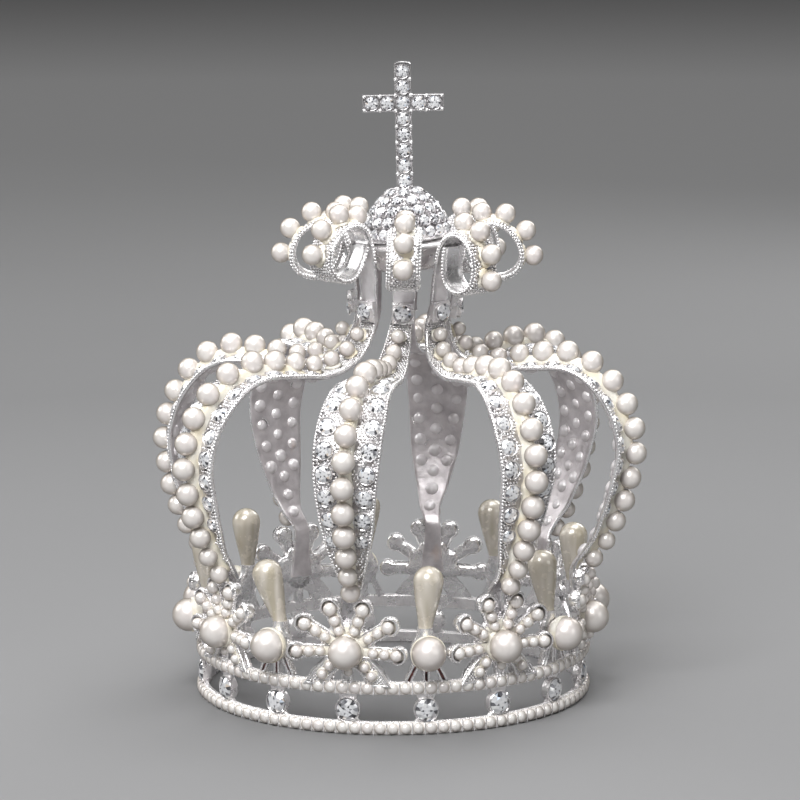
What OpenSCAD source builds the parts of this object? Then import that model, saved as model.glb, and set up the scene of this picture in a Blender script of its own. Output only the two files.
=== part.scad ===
// Bridal crown: eight strap arches on a double head band, closed by scrolls, a dome and a cross.
// Millimetres. The crown stands on Z = 0 about the Z axis, and its photographed front faces -Y.

/* [Head band] */
// Outer radius of the two metal bands, behind their pearls
band_r = 49.8; // [48:0.1:52]
// Thickness of the bands
band_t = 1.2; // [1:0.1:1.8]
// Height of each band
band_h = 2.8; // [2.6:0.1:3.2]
// Height of the upper band's lower edge
upper_z = 10.5; // [9.8:0.1:11.5]
// Radius of the half round pearls on the bands
rim_pearl_r = 1.35; // [1.1:0.05:1.4]

/* [Crystals between the bands] */
// Crystals around the head band
crystal_count = 16; // [8, 16]
// Diameter of a crystal
crystal_d = 6; // [5:0.1:6.2]
// Wall of a crystal's cup
cup_wall = 0.45; // [0.35:0.05:0.6]
// Width of the post behind a cup
post_w = 3.2; // [2:0.1:4]

/* [Florets] */
// Diameter of a floret's big pearl
floret_pearl_d = 8.2; // [7:0.1:9]
// Height of a floret's centre
floret_z = 21.1; // [20.5:0.1:22]
// Thickness of a floret's plate
floret_t = 1.8; // [1.2:0.1:2.2]
// Width of a petal
petal_w = 3.3; // [2.6:0.1:3.8]
// Height of the cups at the petal tips
tip_cup_h = 1.3; // [0.8:0.1:1.6]
// Diameter of the pearl in a tip cup
tip_pearl_d = 3.1; // [2.6:0.1:3.2]

/* [Drops] */
// Diameter of a drop's big pearl
drop_pearl_d = 8.2; // [7:0.1:8.6]
// Widest diameter of a teardrop
teardrop_d = 7.6; // [6:0.1:8]
// Length of a teardrop
teardrop_h = 16.6; // [14:0.1:18]
// Width of the three struts that carry a drop
strut_w = 1.4; // [1:0.1:1.8]

/* [Arches] */
// Thickness of the arch straps
strap_t = 1.1; // [0.9:0.05:1.3]
// Thickness of the scroll's ribbon
ribbon_t = 1; // [0.8:0.05:1.1]
// How much of the real crown's handmade lean and turn is kept
handmade = 1; // [0:0.1:1]

/* [Dome and cross] */
// Radius of the dome's foot
dome_r = 10.8; // [9.5:0.1:11.5]
// Height of the dome's foot above the floor
dome_z = 118.3; // [118:0.1:119]
// Height of the dome
dome_h = 12.8; // [11:0.1:14]
// Top of the cross above the floor
cross_top = 163; // [158:0.5:168]
// Span of the cross's arms
cross_w = 20.8; // [18:0.2:24]
// Width of the cross's bars
cross_bar = 4.3; // [4.1:0.1:5]
// Thickness of the cross
cross_t = 2.6; // [2.2:0.1:3.4]
// Pitch of the stones on the cross
cross_pitch = 4; // [3.8:0.1:4.4]
// Tilt of the dome in degrees, + to the right as seen from the front
dome_tilt = -5; // [-6:1:2]
// Tilt of the cross in degrees
cross_tilt = -1.2; // [-3:0.2:3]

/* [Hidden] */
$fn = 64;

// Clearance between a piece and the piece that carries it.
gap = 0.1;
silver = "gainsboro";
pearl = "linen";
// Angle of arch 1 about the axis. The front is 0, and + turns towards +X.
first_arch = -13;
sector = 45;
half_sector = sector / 2;

// One row for each pearl of an arch, from the floret to the neck: the pearl's centre as radius and
// height, its diameter, the strap's width there and the strap's turn about the axis.
A_R = 0; A_Z = 1; A_D = 2; A_W = 3; A_TURN = 4;
ARCH = [
  [52.6,  36.2, 5,    5.6,  1.5],
  [55.7,  40.9, 5,    8.2,  1.5],
  [58,    46.1, 5.6, 10.8,  1.5],
  [60.1,  51.6, 6,   13.2,  1.5],
  [61.6,  57.5, 6,   14.6,  1.5],
  [62.8,  63.9, 6,   15.8,  1.5],
  [62.2,  70.3, 6,   16.8,  1.5],
  [60.1,  76.5, 6,   17,    1.5],
  [56.2,  82.3, 6,   16.8,  1.8],
  [50.8,  87,   6,   15.6,  2.2],
  [44.2,  89.4, 6,   14.5,  2.8],
  [37.8,  89.2, 5.8, 13,    3.6],
  [31.8,  88.5, 5.2, 11.5,  4.6],
  [26.4,  87.7, 4.6, 10,    6],
  [21.5,  88.6, 4.4,  8.8,  7.6],
  [17.4,  90.8, 4.2,  7.6,  9.2],
  [15,    94.4, 3.8,  6.4, 10.4]
];

// How far each arch's shoulder is pressed in, and how that spreads over the height.
PRESSED = [0, 0, 0, 0, 0, 0, 1.4, 0];
PRESS_SPREAD = [[45, 0], [62, 0.7], [74, 1], [84, 0.7], [92, 0]];

// The strap's foot behind the floret, below the first pearl: radius, height and width.
FOOT = [
  [47.6, 20.5, 6.5],
  [47.6, 27,   5],
  [47.4, 33.8, 4.4]
];

// The ribbon above the arch's last pearl: radius, height, width and thickness. It climbs the neck,
// leaves under the dome, rolls over outward and closes below as a ring.
RIBBON = [
  [11.7,  97,   5.6, 1.1],
  [12.2, 100.2, 5.5, 1.1],
  [12.4, 103.5, 5.6, 1.1],
  [13,   108,   6.2, 1],
  [14.1, 112.5, 7,   1],
  [15.4, 116.6, 7.6, 1],
  [17.5, 120.2, 8,   1],
  [20.8, 121.8, 8,   1],
  [24.4, 121,   8,   1],
  [27.4, 118.4, 8,   1],
  [29,   114.8, 8,   1],
  [28.9, 111.4, 8,   1],
  [27,   109,   8,   1],
  [23.8, 107.9, 7.8, 1],
  [20.6, 108.4, 7.4, 1],
  [18.4, 110.6, 7,   1],
  [17.3, 113.4, 6.6, 1]
];
// Ribbon rows from this one on swing about the ribbon's shoulder, where the hand bent each one.
SHOULDER = 5;
// Turn of the ribbons about the axis against the florets, in degrees.
RIBBON_TURN = 11;
// Sideways shift of the upper work at each height, as height and shift.
SHIFT = [[21, 0], [60, 0.3], [88, 1], [94, 2], [100, 3.2], [113, 3.8], [124, 4]];
// Swing of each scroll in degrees, + droops it outward.
DROOP = [0, 14, 0, 2, 0, -2, -2, -9];

// The scroll's pearls: radius, height and diameter.
SCROLL_PEARLS = [
  [32.3, 113.4, 5],
  [30.3, 119.8, 5],
  [25,   124.1, 5],
  [18.9, 124.4, 4.9]
];

// Petals of a floret: angle from level, distance of the tip cup from the centre and the cup's radius.
PETALS = [
  [ 31.5, 12.7, 2.45], [148.5, 12.7, 2.45],
  [ 68.5, 11.6, 2.45], [111.5, 11.6, 2.45],
  [ -2.5, 13,   2.1],  [182.5, 13,   2.1]
];

// Lean of each teardrop in degrees: to the side and outward. The first is at the front right.
TEARDROP_LEAN = [[4, 0], [-3, -6], [0, 0], [4, -3], [-3, 2], [3, 0], [-2, 3], [-15, 5]];

function arch_angle(i) = first_arch + sector * (i - 1);
function drop_angle(i) = arch_angle(i) + half_sector;
function shift_at(z) = handmade * lookup(z, SHIFT);
// Point at radius r, angle a and height z, with the upper work's lean at height lean_z.
function place(r, a, z, lean_z) = [r * sin(a) + shift_at(lean_z), -r * cos(a), z];

// Unit normal of a row of radius and height pairs at k, on the side where the pearls sit.
function along(rows, k) =
  let (a = rows[max(0, k - 1)], b = rows[min(len(rows) - 1, k + 1)], d = [b[0] - a[0], b[1] - a[1]])
  d / norm(d);
function normal(rows, k) = let (t = along(rows, k)) [t[1], -t[0]];

// Pearl rows of arch i, with its shoulder pressed in.
function leaf(i) =
  [for (p = ARCH)
    let (press = handmade * PRESSED[i - 1] * lookup(p[A_Z], PRESS_SPREAD))
    [p[A_R] - press, p[A_Z], p[A_D], p[A_W], p[A_TURN]]];

// Strap centre line under the pearls: radius, height, width, thickness, turn, height of its lean.
function under_pearl(rows, k) =
  let (p = rows[k], n = normal(rows, k), drop = p[A_D] / 2 + gap + strap_t / 2)
  [p[A_R] - n[0] * drop, p[A_Z] - n[1] * drop, p[A_W], strap_t, p[A_TURN] * handmade, p[A_Z]];

// Point q swung about the shoulder by droop degrees, downward and outward.
function swing(q, droop) =
  let (o = RIBBON[SHOULDER], d = [q[0] - o[0], q[1] - o[1]])
  [o[0] + d[0] * cos(droop) + d[1] * sin(droop), o[1] - d[0] * sin(droop) + d[1] * cos(droop)];

function spine(i) = let (rows = leaf(i), droop = DROOP[i - 1] * handmade) concat(
  [for (f = FOOT) [f[0], f[1], f[2], strap_t, 0, f[1]]],
  [for (k = [0:len(rows) - 1]) under_pearl(rows, k)],
  [for (k = [0:len(RIBBON) - 1])
    let (q = k > SHOULDER ? swing(RIBBON[k], droop) : RIBBON[k])
    [q[0], q[1], RIBBON[k][2], RIBBON[k][3] * (k > 2 ? ribbon_t : 1), RIBBON_TURN * handmade, q[1]]]);

// Rows with one more between each pair, on a smooth curve through them.
function smooth(rows) =
  let (n = len(rows))
  concat(
    [for (k = [0:n - 2]) each [
      rows[k],
      (9 * (rows[k] + rows[k + 1]) - rows[max(0, k - 1)] - rows[min(n - 1, k + 2)]) / 16]],
    [rows[n - 1]]);

// Four corners of a strap's section at row k, at angle a of its arch.
function section(rows, k, a) =
  let (
    q = rows[k], n = normal(rows, k), turn = a + q[4],
    c = place(q[0], turn, q[1], q[5]),
    w = [cos(turn), sin(turn), 0] * q[2] / 2,
    u = [n[0] * sin(turn), -n[0] * cos(turn), n[1]] * q[3] / 2)
  [c - w - u, c + w - u, c + w + u, c - w + u];

// A closed strip through the sections of all rows.
module strap(rows, a) {
  n = len(rows);
  points = [for (k = [0:n - 1]) each section(rows, k, a)];
  sides = [for (k = [0:n - 2], j = [0:3]) each
    let (p = 4 * k + j, q = 4 * k + (j + 1) % 4)
    [[p, q, q + 4], [p, q + 4, p + 4]]];
  ends = [[3, 2, 1, 0], [4 * n - 4, 4 * n - 3, 4 * n - 2, 4 * n - 1]];
  polyhedron(points = points, faces = concat(ends, sides), convexity = 10);
}

// A cut stone with its girdle on Z = 0 and its table up: eight crown and eight pavilion facets.
module cut_stone(d) {
  ring = [for (j = [0:7]) [cos(45 * j), sin(45 * j)]];
  table_r = 0.3 * d;
  crown = 0.15 * d;
  girdle = 0.04 * d;
  pavilion = 0.3 * d;
  points = concat(
    [for (p = ring) [p[0] * table_r, p[1] * table_r, crown]],
    [for (p = ring) [p[0] * d / 2, p[1] * d / 2, 0]],
    [for (p = ring) [p[0] * d / 2, p[1] * d / 2, -girdle]],
    [[0, 0, -pavilion]]);
  faces = concat(
    [[for (j = [7:-1:0]) j]],
    [for (j = [0:7]) [j, (j + 1) % 8, 8 + (j + 1) % 8, 8 + j]],
    [for (j = [0:7]) [8 + j, 8 + (j + 1) % 8, 16 + (j + 1) % 8, 16 + j]],
    [for (j = [0:7]) [16 + j, 16 + (j + 1) % 8, 24]]);
  polyhedron(points = points, faces = faces);
}

// Turns children about the axis to angle a. They are drawn at the front, at -Y.
module at_angle(a) {
  rotate([0, 0, a]) children();
}

// Moves children, drawn on the XY plane and facing +Z, to face outward at radius r and height z.
module facing_out(r, z) {
  translate([0, -r, z]) rotate([90, 0, 0]) children();
}

// One metal band from z up.
module band(z) {
  rotate_extrude($fn = 180) translate([band_r - band_t, z]) square([band_t, band_h]);
}

// Cup, post and gusset of each crystal between the bands.
crystal_z = (band_h + upper_z) / 2;
cup_r = crystal_d / 2 + gap + cup_wall;
cup_back = band_r - 2;
cup_front = band_r + 0.4;
module crystal_setting() {
  foot = band_h - 0.6;
  difference() {
    union() {
      facing_out(cup_back, crystal_z) cylinder(r = cup_r, h = cup_front - cup_back);
      facing_out(band_r - band_t, foot)
        translate([-post_w / 2, 0, 0]) cube([post_w, upper_z - gap - foot, band_t - 0.2]);
      facing_out(band_r - band_t, foot) linear_extrude(band_t - 0.2)
        polygon([[-3.8, 0], [3.8, 0], [2.2, 2], [-2.2, 2]]);
    }
    facing_out(cup_back + 0.4, crystal_z) cylinder(r = crystal_d / 2 + gap, h = 4);
  }
}

// The lower band with the crystals' settings soldered on.
module band_lower() {
  color(silver) {
    band(0);
    for (j = [0:crystal_count - 1]) at_angle(first_arch + 360 / crystal_count * j) crystal_setting();
  }
}

// Seat, sleeve and three struts of each drop, on the upper band.
drop_pearl_r = 53.3;
drop_z = 21.1;
drop_back = 47.4;
sleeve_r = 48;
sleeve_top = 25.2;
strut_foot = 4.6;
module drop_mount() {
  foot = upper_z + band_h - 0.6;
  difference() {
    union() {
      facing_out(drop_back, drop_z - 0.3) cylinder(r = 2.8, h = 2.4);
      translate([0, -sleeve_r, 21]) cylinder(r1 = 2.1, r2 = 1.9, h = sleeve_top - 21);
      facing_out(band_r - band_t, 0) linear_extrude(band_t - 0.3)
        for (s = [-1, 0, 1])
          polygon([
            [s * 1.4 - strut_w / 2, drop_z - 0.5], [s * strut_foot - strut_w / 2, foot],
            [s * strut_foot + strut_w / 2, foot], [s * 1.4 + strut_w / 2, drop_z - 0.5]]);
    }
    translate([0, -drop_pearl_r, drop_z]) sphere(d = drop_pearl_d + 2 * gap);
  }
}

// The upper band with the drops' mounts soldered on.
module band_upper() {
  color(silver) {
    band(upper_z);
    for (i = [1:8]) at_angle(drop_angle(i)) drop_mount();
  }
}

// The strip of half round pearls on a band, whose middle is at height z.
module rim_pearls(z) {
  color(pearl) rotate_extrude($fn = 180) translate([band_r + gap, z])
    difference() {
      circle(r = rim_pearl_r, $fn = 32);
      translate([-2 * rim_pearl_r, -2 * rim_pearl_r]) square([2 * rim_pearl_r, 4 * rim_pearl_r]);
    }
}
module rim_pearls_lower() { rim_pearls(band_h / 2); }
module rim_pearls_upper() { rim_pearls(upper_z + band_h / 2); }

module base_crystals() {
  color("white")
    for (j = [0:crystal_count - 1])
      at_angle(first_arch + 360 / crystal_count * j)
        facing_out(cup_front - 0.1, crystal_z) cut_stone(crystal_d - 0.1);
}

// Flat outline of a floret about its centre: disc, petals and the three feet on the band.
floret_back = 48.3;
floret_foot_z = upper_z + band_h + gap - floret_z;
module floret_outline() {
  circle(r = 4.7, $fn = 48);
  for (p = PETALS) {
    rotate(p[0]) translate([0, -petal_w / 2]) square([p[1], petal_w]);
    rotate(p[0]) translate([p[1], 0]) circle(r = p[2], $fn = 32);
  }
  translate([-1.4, floret_foot_z]) square([2.8, -floret_foot_z]);
  for (s = [-1, 1])
    polygon([[s * 1.6, -3.2], [s * 6, floret_foot_z], [s * 10, floret_foot_z], [s * 4, -1.6]]);
}

// A floret: pierced plate, raised tip cups and the seat of its big pearl.
floret_pearl_r = 52.7;
module floret(i) {
  at_angle(arch_angle(i)) color(silver) difference() {
    union() {
      facing_out(floret_back, floret_z) linear_extrude(floret_t) floret_outline();
      facing_out(floret_back + floret_t / 2, floret_z)
        for (p = PETALS)
          rotate(p[0]) translate([p[1], 0, 0]) cylinder(r = p[2], h = floret_t / 2 + tip_cup_h, $fn = 32);
    }
    facing_out(floret_back + floret_t, floret_z)
      for (p = PETALS)
        rotate(p[0]) translate([p[1], 0, 0]) cylinder(d = tip_pearl_d + 2 * gap, h = 3, $fn = 32);
    translate([0, -floret_pearl_r, floret_z]) sphere(d = floret_pearl_d + 2 * gap);
  }
}
module floret_1() { floret(1); }
module floret_2() { floret(2); }
module floret_3() { floret(3); }
module floret_4() { floret(4); }
module floret_5() { floret(5); }
module floret_6() { floret(6); }
module floret_7() { floret(7); }
module floret_8() { floret(8); }

module floret_pearl(i) {
  color(pearl) at_angle(arch_angle(i))
    translate([0, -floret_pearl_r, floret_z]) sphere(d = floret_pearl_d);
}
module floret_pearl_1() { floret_pearl(1); }
module floret_pearl_2() { floret_pearl(2); }
module floret_pearl_3() { floret_pearl(3); }
module floret_pearl_4() { floret_pearl(4); }
module floret_pearl_5() { floret_pearl(5); }
module floret_pearl_6() { floret_pearl(6); }
module floret_pearl_7() { floret_pearl(7); }
module floret_pearl_8() { floret_pearl(8); }

module drop_pearl(i) {
  color(pearl) at_angle(drop_angle(i))
    translate([0, -drop_pearl_r, drop_z]) sphere(d = drop_pearl_d);
}
module drop_pearl_1() { drop_pearl(1); }
module drop_pearl_2() { drop_pearl(2); }
module drop_pearl_3() { drop_pearl(3); }
module drop_pearl_4() { drop_pearl(4); }
module drop_pearl_5() { drop_pearl(5); }
module drop_pearl_6() { drop_pearl(6); }
module drop_pearl_7() { drop_pearl(7); }
module drop_pearl_8() { drop_pearl(8); }

// A teardrop standing on its narrow end: straight taper below, round head above.
module teardrop(i) {
  head_r = teardrop_d / 2;
  head_z = teardrop_h - head_r;
  profile = concat(
    [[0, 0], [1.6, 0], [1.6, 1.2], [2.1, 4], [2.8, 7.2], [3.4, 9.8]],
    [for (t = [-15:15:75]) [head_r * cos(t), head_z + head_r * sin(t)]],
    [[0, teardrop_h]]);
  tilt = TEARDROP_LEAN[i - 1];
  color("cornsilk") at_angle(drop_angle(i))
    translate([0, -sleeve_r, sleeve_top + gap + 1.6 * sin(norm(tilt))]) rotate([tilt[1], tilt[0], 0])
      rotate_extrude($fn = 48) polygon(profile);
}
module teardrop_1() { teardrop(1); }
module teardrop_2() { teardrop(2); }
module teardrop_3() { teardrop(3); }
module teardrop_4() { teardrop(4); }
module teardrop_5() { teardrop(5); }
module teardrop_6() { teardrop(6); }
module teardrop_7() { teardrop(7); }
module teardrop_8() { teardrop(8); }

// One arch: foot, leaf, neck and scroll are a single strap.
module arch(i) {
  color(silver) strap(smooth(spine(i)), arch_angle(i));
}
module arch_1() { arch(1); }
module arch_2() { arch(2); }
module arch_3() { arch(3); }
module arch_4() { arch(4); }
module arch_5() { arch(5); }
module arch_6() { arch(6); }
module arch_7() { arch(7); }
module arch_8() { arch(8); }

// The pearls along one arch and its scroll.
module arch_pearls(i) {
  color(pearl) {
    for (p = leaf(i))
      translate(place(p[A_R], arch_angle(i) + p[A_TURN] * handmade, p[A_Z], p[A_Z]))
        sphere(d = p[A_D] - gap);
    for (p = SCROLL_PEARLS) {
      q = swing(p, DROOP[i - 1] * handmade);
      translate(place(q[0], arch_angle(i) + RIBBON_TURN * handmade, q[1], q[1])) sphere(d = p[2] - gap);
    }
  }
}
module arch_pearls_1() { arch_pearls(1); }
module arch_pearls_2() { arch_pearls(2); }
module arch_pearls_3() { arch_pearls(3); }
module arch_pearls_4() { arch_pearls(4); }
module arch_pearls_5() { arch_pearls(5); }
module arch_pearls_6() { arch_pearls(6); }
module arch_pearls_7() { arch_pearls(7); }
module arch_pearls_8() { arch_pearls(8); }

// The stone at each arch's neck.
neck_stone_d = 4.8;
neck_stone_z = 100.2;
module neck_stones() {
  color("white")
    for (i = [1:8])
      translate([shift_at(neck_stone_z), 0, 0]) at_angle(arch_angle(i) + RIBBON_TURN * handmade)
        facing_out(12.2 + strap_t / 2 + gap + 0.3 * neck_stone_d, neck_stone_z) cut_stone(neck_stone_d);
}

// Plain cup and plate that close the neck, and the slightly pointed dome on them, soldered into one.
// They tilt about the dome's foot.
collar_bottom = 110;
plate_z = 116;
plate_r = 13.8;
plate_t = 1.2;
slot_r = 9.4;
module collar() {
  cup_h = plate_z - collar_bottom;
  translate([0, 0, plate_z - dome_z]) {
    translate([0, 0, -cup_h]) cylinder(r1 = 8, r2 = 11.2, h = cup_h);
    cylinder(r = plate_r, h = plate_t);
    cylinder(r = slot_r, h = dome_z - plate_z + 0.4);
  }
}
module cap() {
  rotate_extrude($fn = 96)
    polygon([
      [0, 0], [dome_r, 0], [dome_r, 0.8], [0.95 * dome_r, 0.22 * dome_h], [0.85 * dome_r, 0.45 * dome_h],
      [0.7 * dome_r, 0.66 * dome_h], [0.5 * dome_r, 0.83 * dome_h], [0.26 * dome_r, 0.95 * dome_h],
      [0, dome_h]]);
}
module dome() {
  color(silver) translate([shift_at(dome_z), 0, dome_z]) rotate([0, dome_tilt * handmade, 0]) {
    collar();
    cap();
  }
}

// The cross, with a seat for each stone. It stands on the dome's top.
cross_x = shift_at(dome_z) + dome_h * sin(dome_tilt * handmade) + 0.4;
cross_foot = dome_z + dome_h + gap;
cross_mid = cross_top - cross_bar / 2 - 2 * cross_pitch;
cross_stone_d = 3.3;
CROSS_SEATS = concat(
  [for (k = [-5:2]) [0, k * cross_pitch]],
  [for (k = [-2, -1, 1, 2]) [k * cross_pitch, 0]]);
module on_cross() {
  translate([cross_x, 0, cross_foot]) rotate([0, cross_tilt * handmade, 0])
    translate([0, 0, cross_mid - cross_foot]) children();
}
module cross() {
  color(silver) on_cross() translate([0, cross_t / 2, 0]) difference() {
    rotate([90, 0, 0]) linear_extrude(cross_t) {
      translate([-cross_bar / 2, cross_foot - cross_mid]) square([cross_bar, cross_top - cross_foot]);
      translate([-cross_w / 2, -cross_bar / 2]) square([cross_w, cross_bar]);
    }
    for (s = CROSS_SEATS)
      translate([s[0], 1.15 - cross_t, s[1]]) rotate([90, 0, 0])
        cylinder(d = cross_stone_d + 0.3, h = 3, $fn = 24);
  }
}

module cross_stones() {
  color("white") on_cross()
    for (s = CROSS_SEATS)
      translate([s[0], -cross_t / 2, s[1]]) rotate([90, 0, 0]) cut_stone(cross_stone_d);
}

band_lower();
band_upper();
rim_pearls_lower();
rim_pearls_upper();
base_crystals();
floret_1();
floret_2();
floret_3();
floret_4();
floret_5();
floret_6();
floret_7();
floret_8();
floret_pearl_1();
floret_pearl_2();
floret_pearl_3();
floret_pearl_4();
floret_pearl_5();
floret_pearl_6();
floret_pearl_7();
floret_pearl_8();
drop_pearl_1();
drop_pearl_2();
drop_pearl_3();
drop_pearl_4();
drop_pearl_5();
drop_pearl_6();
drop_pearl_7();
drop_pearl_8();
teardrop_1();
teardrop_2();
teardrop_3();
teardrop_4();
teardrop_5();
teardrop_6();
teardrop_7();
teardrop_8();
arch_1();
arch_2();
arch_3();
arch_4();
arch_5();
arch_6();
arch_7();
arch_8();
arch_pearls_1();
arch_pearls_2();
arch_pearls_3();
arch_pearls_4();
arch_pearls_5();
arch_pearls_6();
arch_pearls_7();
arch_pearls_8();
neck_stones();
dome();
cross();
cross_stones();
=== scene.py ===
"""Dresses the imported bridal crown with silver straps, pearls, cut stones, beaded edges and cement."""

import logging
import math
from dataclasses import dataclass, field
from enum import Enum
from typing import Dict, Iterable, List, Optional, Sequence, Tuple

import bmesh
import bpy
import numpy as np
from mathutils import Matrix, Quaternion, Vector


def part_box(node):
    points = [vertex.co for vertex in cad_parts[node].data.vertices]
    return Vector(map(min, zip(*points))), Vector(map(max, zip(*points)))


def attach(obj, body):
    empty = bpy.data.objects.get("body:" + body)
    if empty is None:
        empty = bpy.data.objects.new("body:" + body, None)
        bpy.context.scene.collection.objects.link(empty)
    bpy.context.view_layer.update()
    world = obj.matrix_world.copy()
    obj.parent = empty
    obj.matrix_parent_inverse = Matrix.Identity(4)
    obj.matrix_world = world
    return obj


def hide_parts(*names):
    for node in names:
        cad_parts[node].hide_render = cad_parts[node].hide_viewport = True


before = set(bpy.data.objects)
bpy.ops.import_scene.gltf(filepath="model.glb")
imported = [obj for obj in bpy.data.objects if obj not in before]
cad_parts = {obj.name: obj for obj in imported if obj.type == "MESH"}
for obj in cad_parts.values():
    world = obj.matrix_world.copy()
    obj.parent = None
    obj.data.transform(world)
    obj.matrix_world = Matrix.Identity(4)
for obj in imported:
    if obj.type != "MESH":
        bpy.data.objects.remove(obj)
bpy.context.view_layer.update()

log = logging.getLogger("crown")
MM = 0.001
COUNT = 8
EVEN = 0.03
ROOT = "root"
Socket = bpy.types.NodeSocket
Colour = Tuple[float, float, float]
Steps = Sequence[Tuple[float, object]]


class Slot(Enum):
    """The record's material slots."""

    SILVER = "silver"
    PEARL = "pearl"
    CREAM = "cream_glass"
    CRYSTAL = "crystal"


class Nodes:
    """Adds nodes to a material, a world or a Geometry Nodes tree."""

    def __init__(self, group: bpy.types.NodeTree) -> None:
        """Takes the tree and empties it."""
        self.group = group
        self.group.nodes.clear()

    def put(self, socket: Socket, value: object) -> None:
        """Links a socket into an input, or sets the input's own value.

        Args:
            socket: the input.
            value: a socket or a plain value.
        """
        if isinstance(value, bpy.types.NodeSocket):
            self.group.links.new(value, socket)
        else:
            socket.default_value = value

    def node(self, kind: str, settings: Optional[Dict[str, object]] = None,
             **inputs: object) -> bpy.types.Node:
        """Adds a node.

        Args:
            kind: Blender's name of the node type.
            settings: the node's own properties.
            inputs: values or sockets by input name, with spaces written as underscores.

        Returns:
            The node.
        """
        made = self.group.nodes.new(kind)
        for name, value in (settings or {}).items():
            setattr(made, name, value)
        for name, value in inputs.items():
            wanted = name.replace("_", " ")
            self.put(next(s for s in made.inputs if s.name == wanted and s.enabled), value)
        return made

    def math(self, operation: str, a: object, b: object = 0.0) -> Socket:
        """Adds one arithmetic step.

        Args:
            operation: Blender's name of it.
            a: first value or socket.
            b: second value or socket.

        Returns:
            The result.
        """
        made = self.node("ShaderNodeMath", {"operation": operation})
        for socket, value in zip(made.inputs, (a, b)):
            self.put(socket, value)
        return made.outputs[0]


class Bench(Nodes):
    """Builds the nodes of one material round a Principled shader."""

    def __init__(self, name: str) -> None:
        """Makes an empty material.

        Args:
            name: the material's name.
        """
        self.material = bpy.data.materials.new(name)
        self.material.use_nodes = True
        super().__init__(self.material.node_tree)
        self.shader = self.node("ShaderNodeBsdfPrincipled")
        self.node("ShaderNodeOutputMaterial", Surface=self.shader.outputs["BSDF"])
        self.place = self.node("ShaderNodeTexCoord").outputs["Object"]

    def set(self, **inputs: object) -> None:
        """Sets inputs of the Principled shader."""
        for name, value in inputs.items():
            self.put(self.shader.inputs[name.replace("_", " ")], value)

    def noise(self, scale: float, detail: float, stretch: Sequence[float] = (1, 1, 1)) -> Socket:
        """Noise over object coordinates.

        Args:
            scale: features per metre.
            detail: octaves.
            stretch: scale along each axis.

        Returns:
            The noise value.
        """
        mapping = self.node("ShaderNodeMapping", Vector=self.place, Scale=tuple(stretch))
        return self.node(
            "ShaderNodeTexNoise", Vector=mapping.outputs[0], Scale=scale, Detail=detail).outputs[0]

    def attribute(self, name: str) -> Socket:
        """Value of a mesh attribute."""
        return self.node("ShaderNodeAttribute", {"attribute_name": name}).outputs["Fac"]

    def span(self, value: Socket, low: float, high: float, start: float, stop: float) -> Socket:
        """Maps start..stop of a value to low..high, clamped."""
        return self.node(
            "ShaderNodeMapRange", Value=value, From_Min=start, From_Max=stop, To_Min=low,
            To_Max=high).outputs[0]

    def patches(self, scale: float, detail: float, low: float, high: float, start: float = 0.3,
                stop: float = 0.7) -> Socket:
        """Noise whose middle levels, start to stop, are spread over low..high."""
        return self.span(self.noise(scale, detail), low, high, start, stop)

    def ramp(self, value: Socket, stops: Sequence[Tuple[float, Colour]]) -> Socket:
        """Colours along a value.

        Args:
            value: what the ramp reads.
            stops: positions from 0 to 1 with their colours.

        Returns:
            The colour.
        """
        made = self.node("ShaderNodeValToRGB", Fac=value)
        bar = made.color_ramp.elements
        while len(bar) < len(stops):
            bar.new(0.5)
        for element, (position, colour) in zip(bar, stops):
            element.position = position
            element.color = (*colour, 1.0)
        return made.outputs["Color"]

    def mix(self, amount: Socket, a: object, b: object) -> Socket:
        """Mixes two colours.

        Args:
            amount: share of the second.
            a: first colour or socket.
            b: second colour or socket.

        Returns:
            The colour.
        """
        made = self.node("ShaderNodeMix", {"data_type": "RGBA"})
        self.put(made.inputs[0], amount)
        for socket, value in ((made.inputs[6], a), (made.inputs[7], b)):
            self.put(socket, value if isinstance(value, bpy.types.NodeSocket) else (*value, 1.0))
        return made.outputs[2]

    def rim(self, high: float, start: float) -> Socket:
        """How far a surface turns away from the eye, from a start level up: the mask that paints shade at the
        outline of a pearl or drop.
        """
        turned = self.node("ShaderNodeLayerWeight", Blend=0.5).outputs["Facing"]
        return self.span(turned, 0, high, start, 1)

    def bump(self, height: Socket, depth: float) -> None:
        """Bumps the surface by a height field of 0 to 1 whose 1 is depth metres."""
        self.set(Normal=self.node("ShaderNodeBump", Height=height, Distance=depth).outputs[0])


@dataclass(frozen=True)
class Finish:
    """A surface finish, made into a material once."""

    name: str
    slot: Slot = Slot.SILVER

    def dress(self, bench: Bench) -> None:
        """Adds this finish's nodes to the bench."""
        raise NotImplementedError

    def material(self) -> bpy.types.Material:
        """The finish's material, made the first time that it is asked for.

        Returns:
            The material.
        """
        found = bpy.data.materials.get(self.name)
        if found is None:
            bench = Bench(self.name)
            self.dress(bench)
            found = bench.material
        return found


@dataclass(frozen=True)
class SilverPlate(Finish):
    """Cast metal under silver plate, with worn patches and a little copper showing."""

    bright: Colour = (0.98, 0.97, 0.97)
    dull: Colour = (0.82, 0.8, 0.81)
    stain: Colour = (0.66, 0.42, 0.3)
    rough: Tuple[float, float] = (0.1, 0.3)
    metal: float = 0.6
    grain: float = 0.00006
    grain_scale: float = 1400.0
    copper: float = 0.5

    def dress(self, bench: Bench) -> None:
        """Adds plate, tarnish, copper stains and casting grain."""
        plate = bench.mix(bench.patches(260, 4, 0, 1, 0.35), self.bright, self.dull)
        worn = bench.patches(95, 5, 0, self.copper, 0.66, 0.8)
        bench.set(
            Base_Color=bench.mix(worn, plate, self.stain), Metallic=self.metal,
            Roughness=bench.patches(420, 3, *self.rough))
        bench.bump(bench.noise(self.grain_scale, 3), self.grain)


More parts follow.
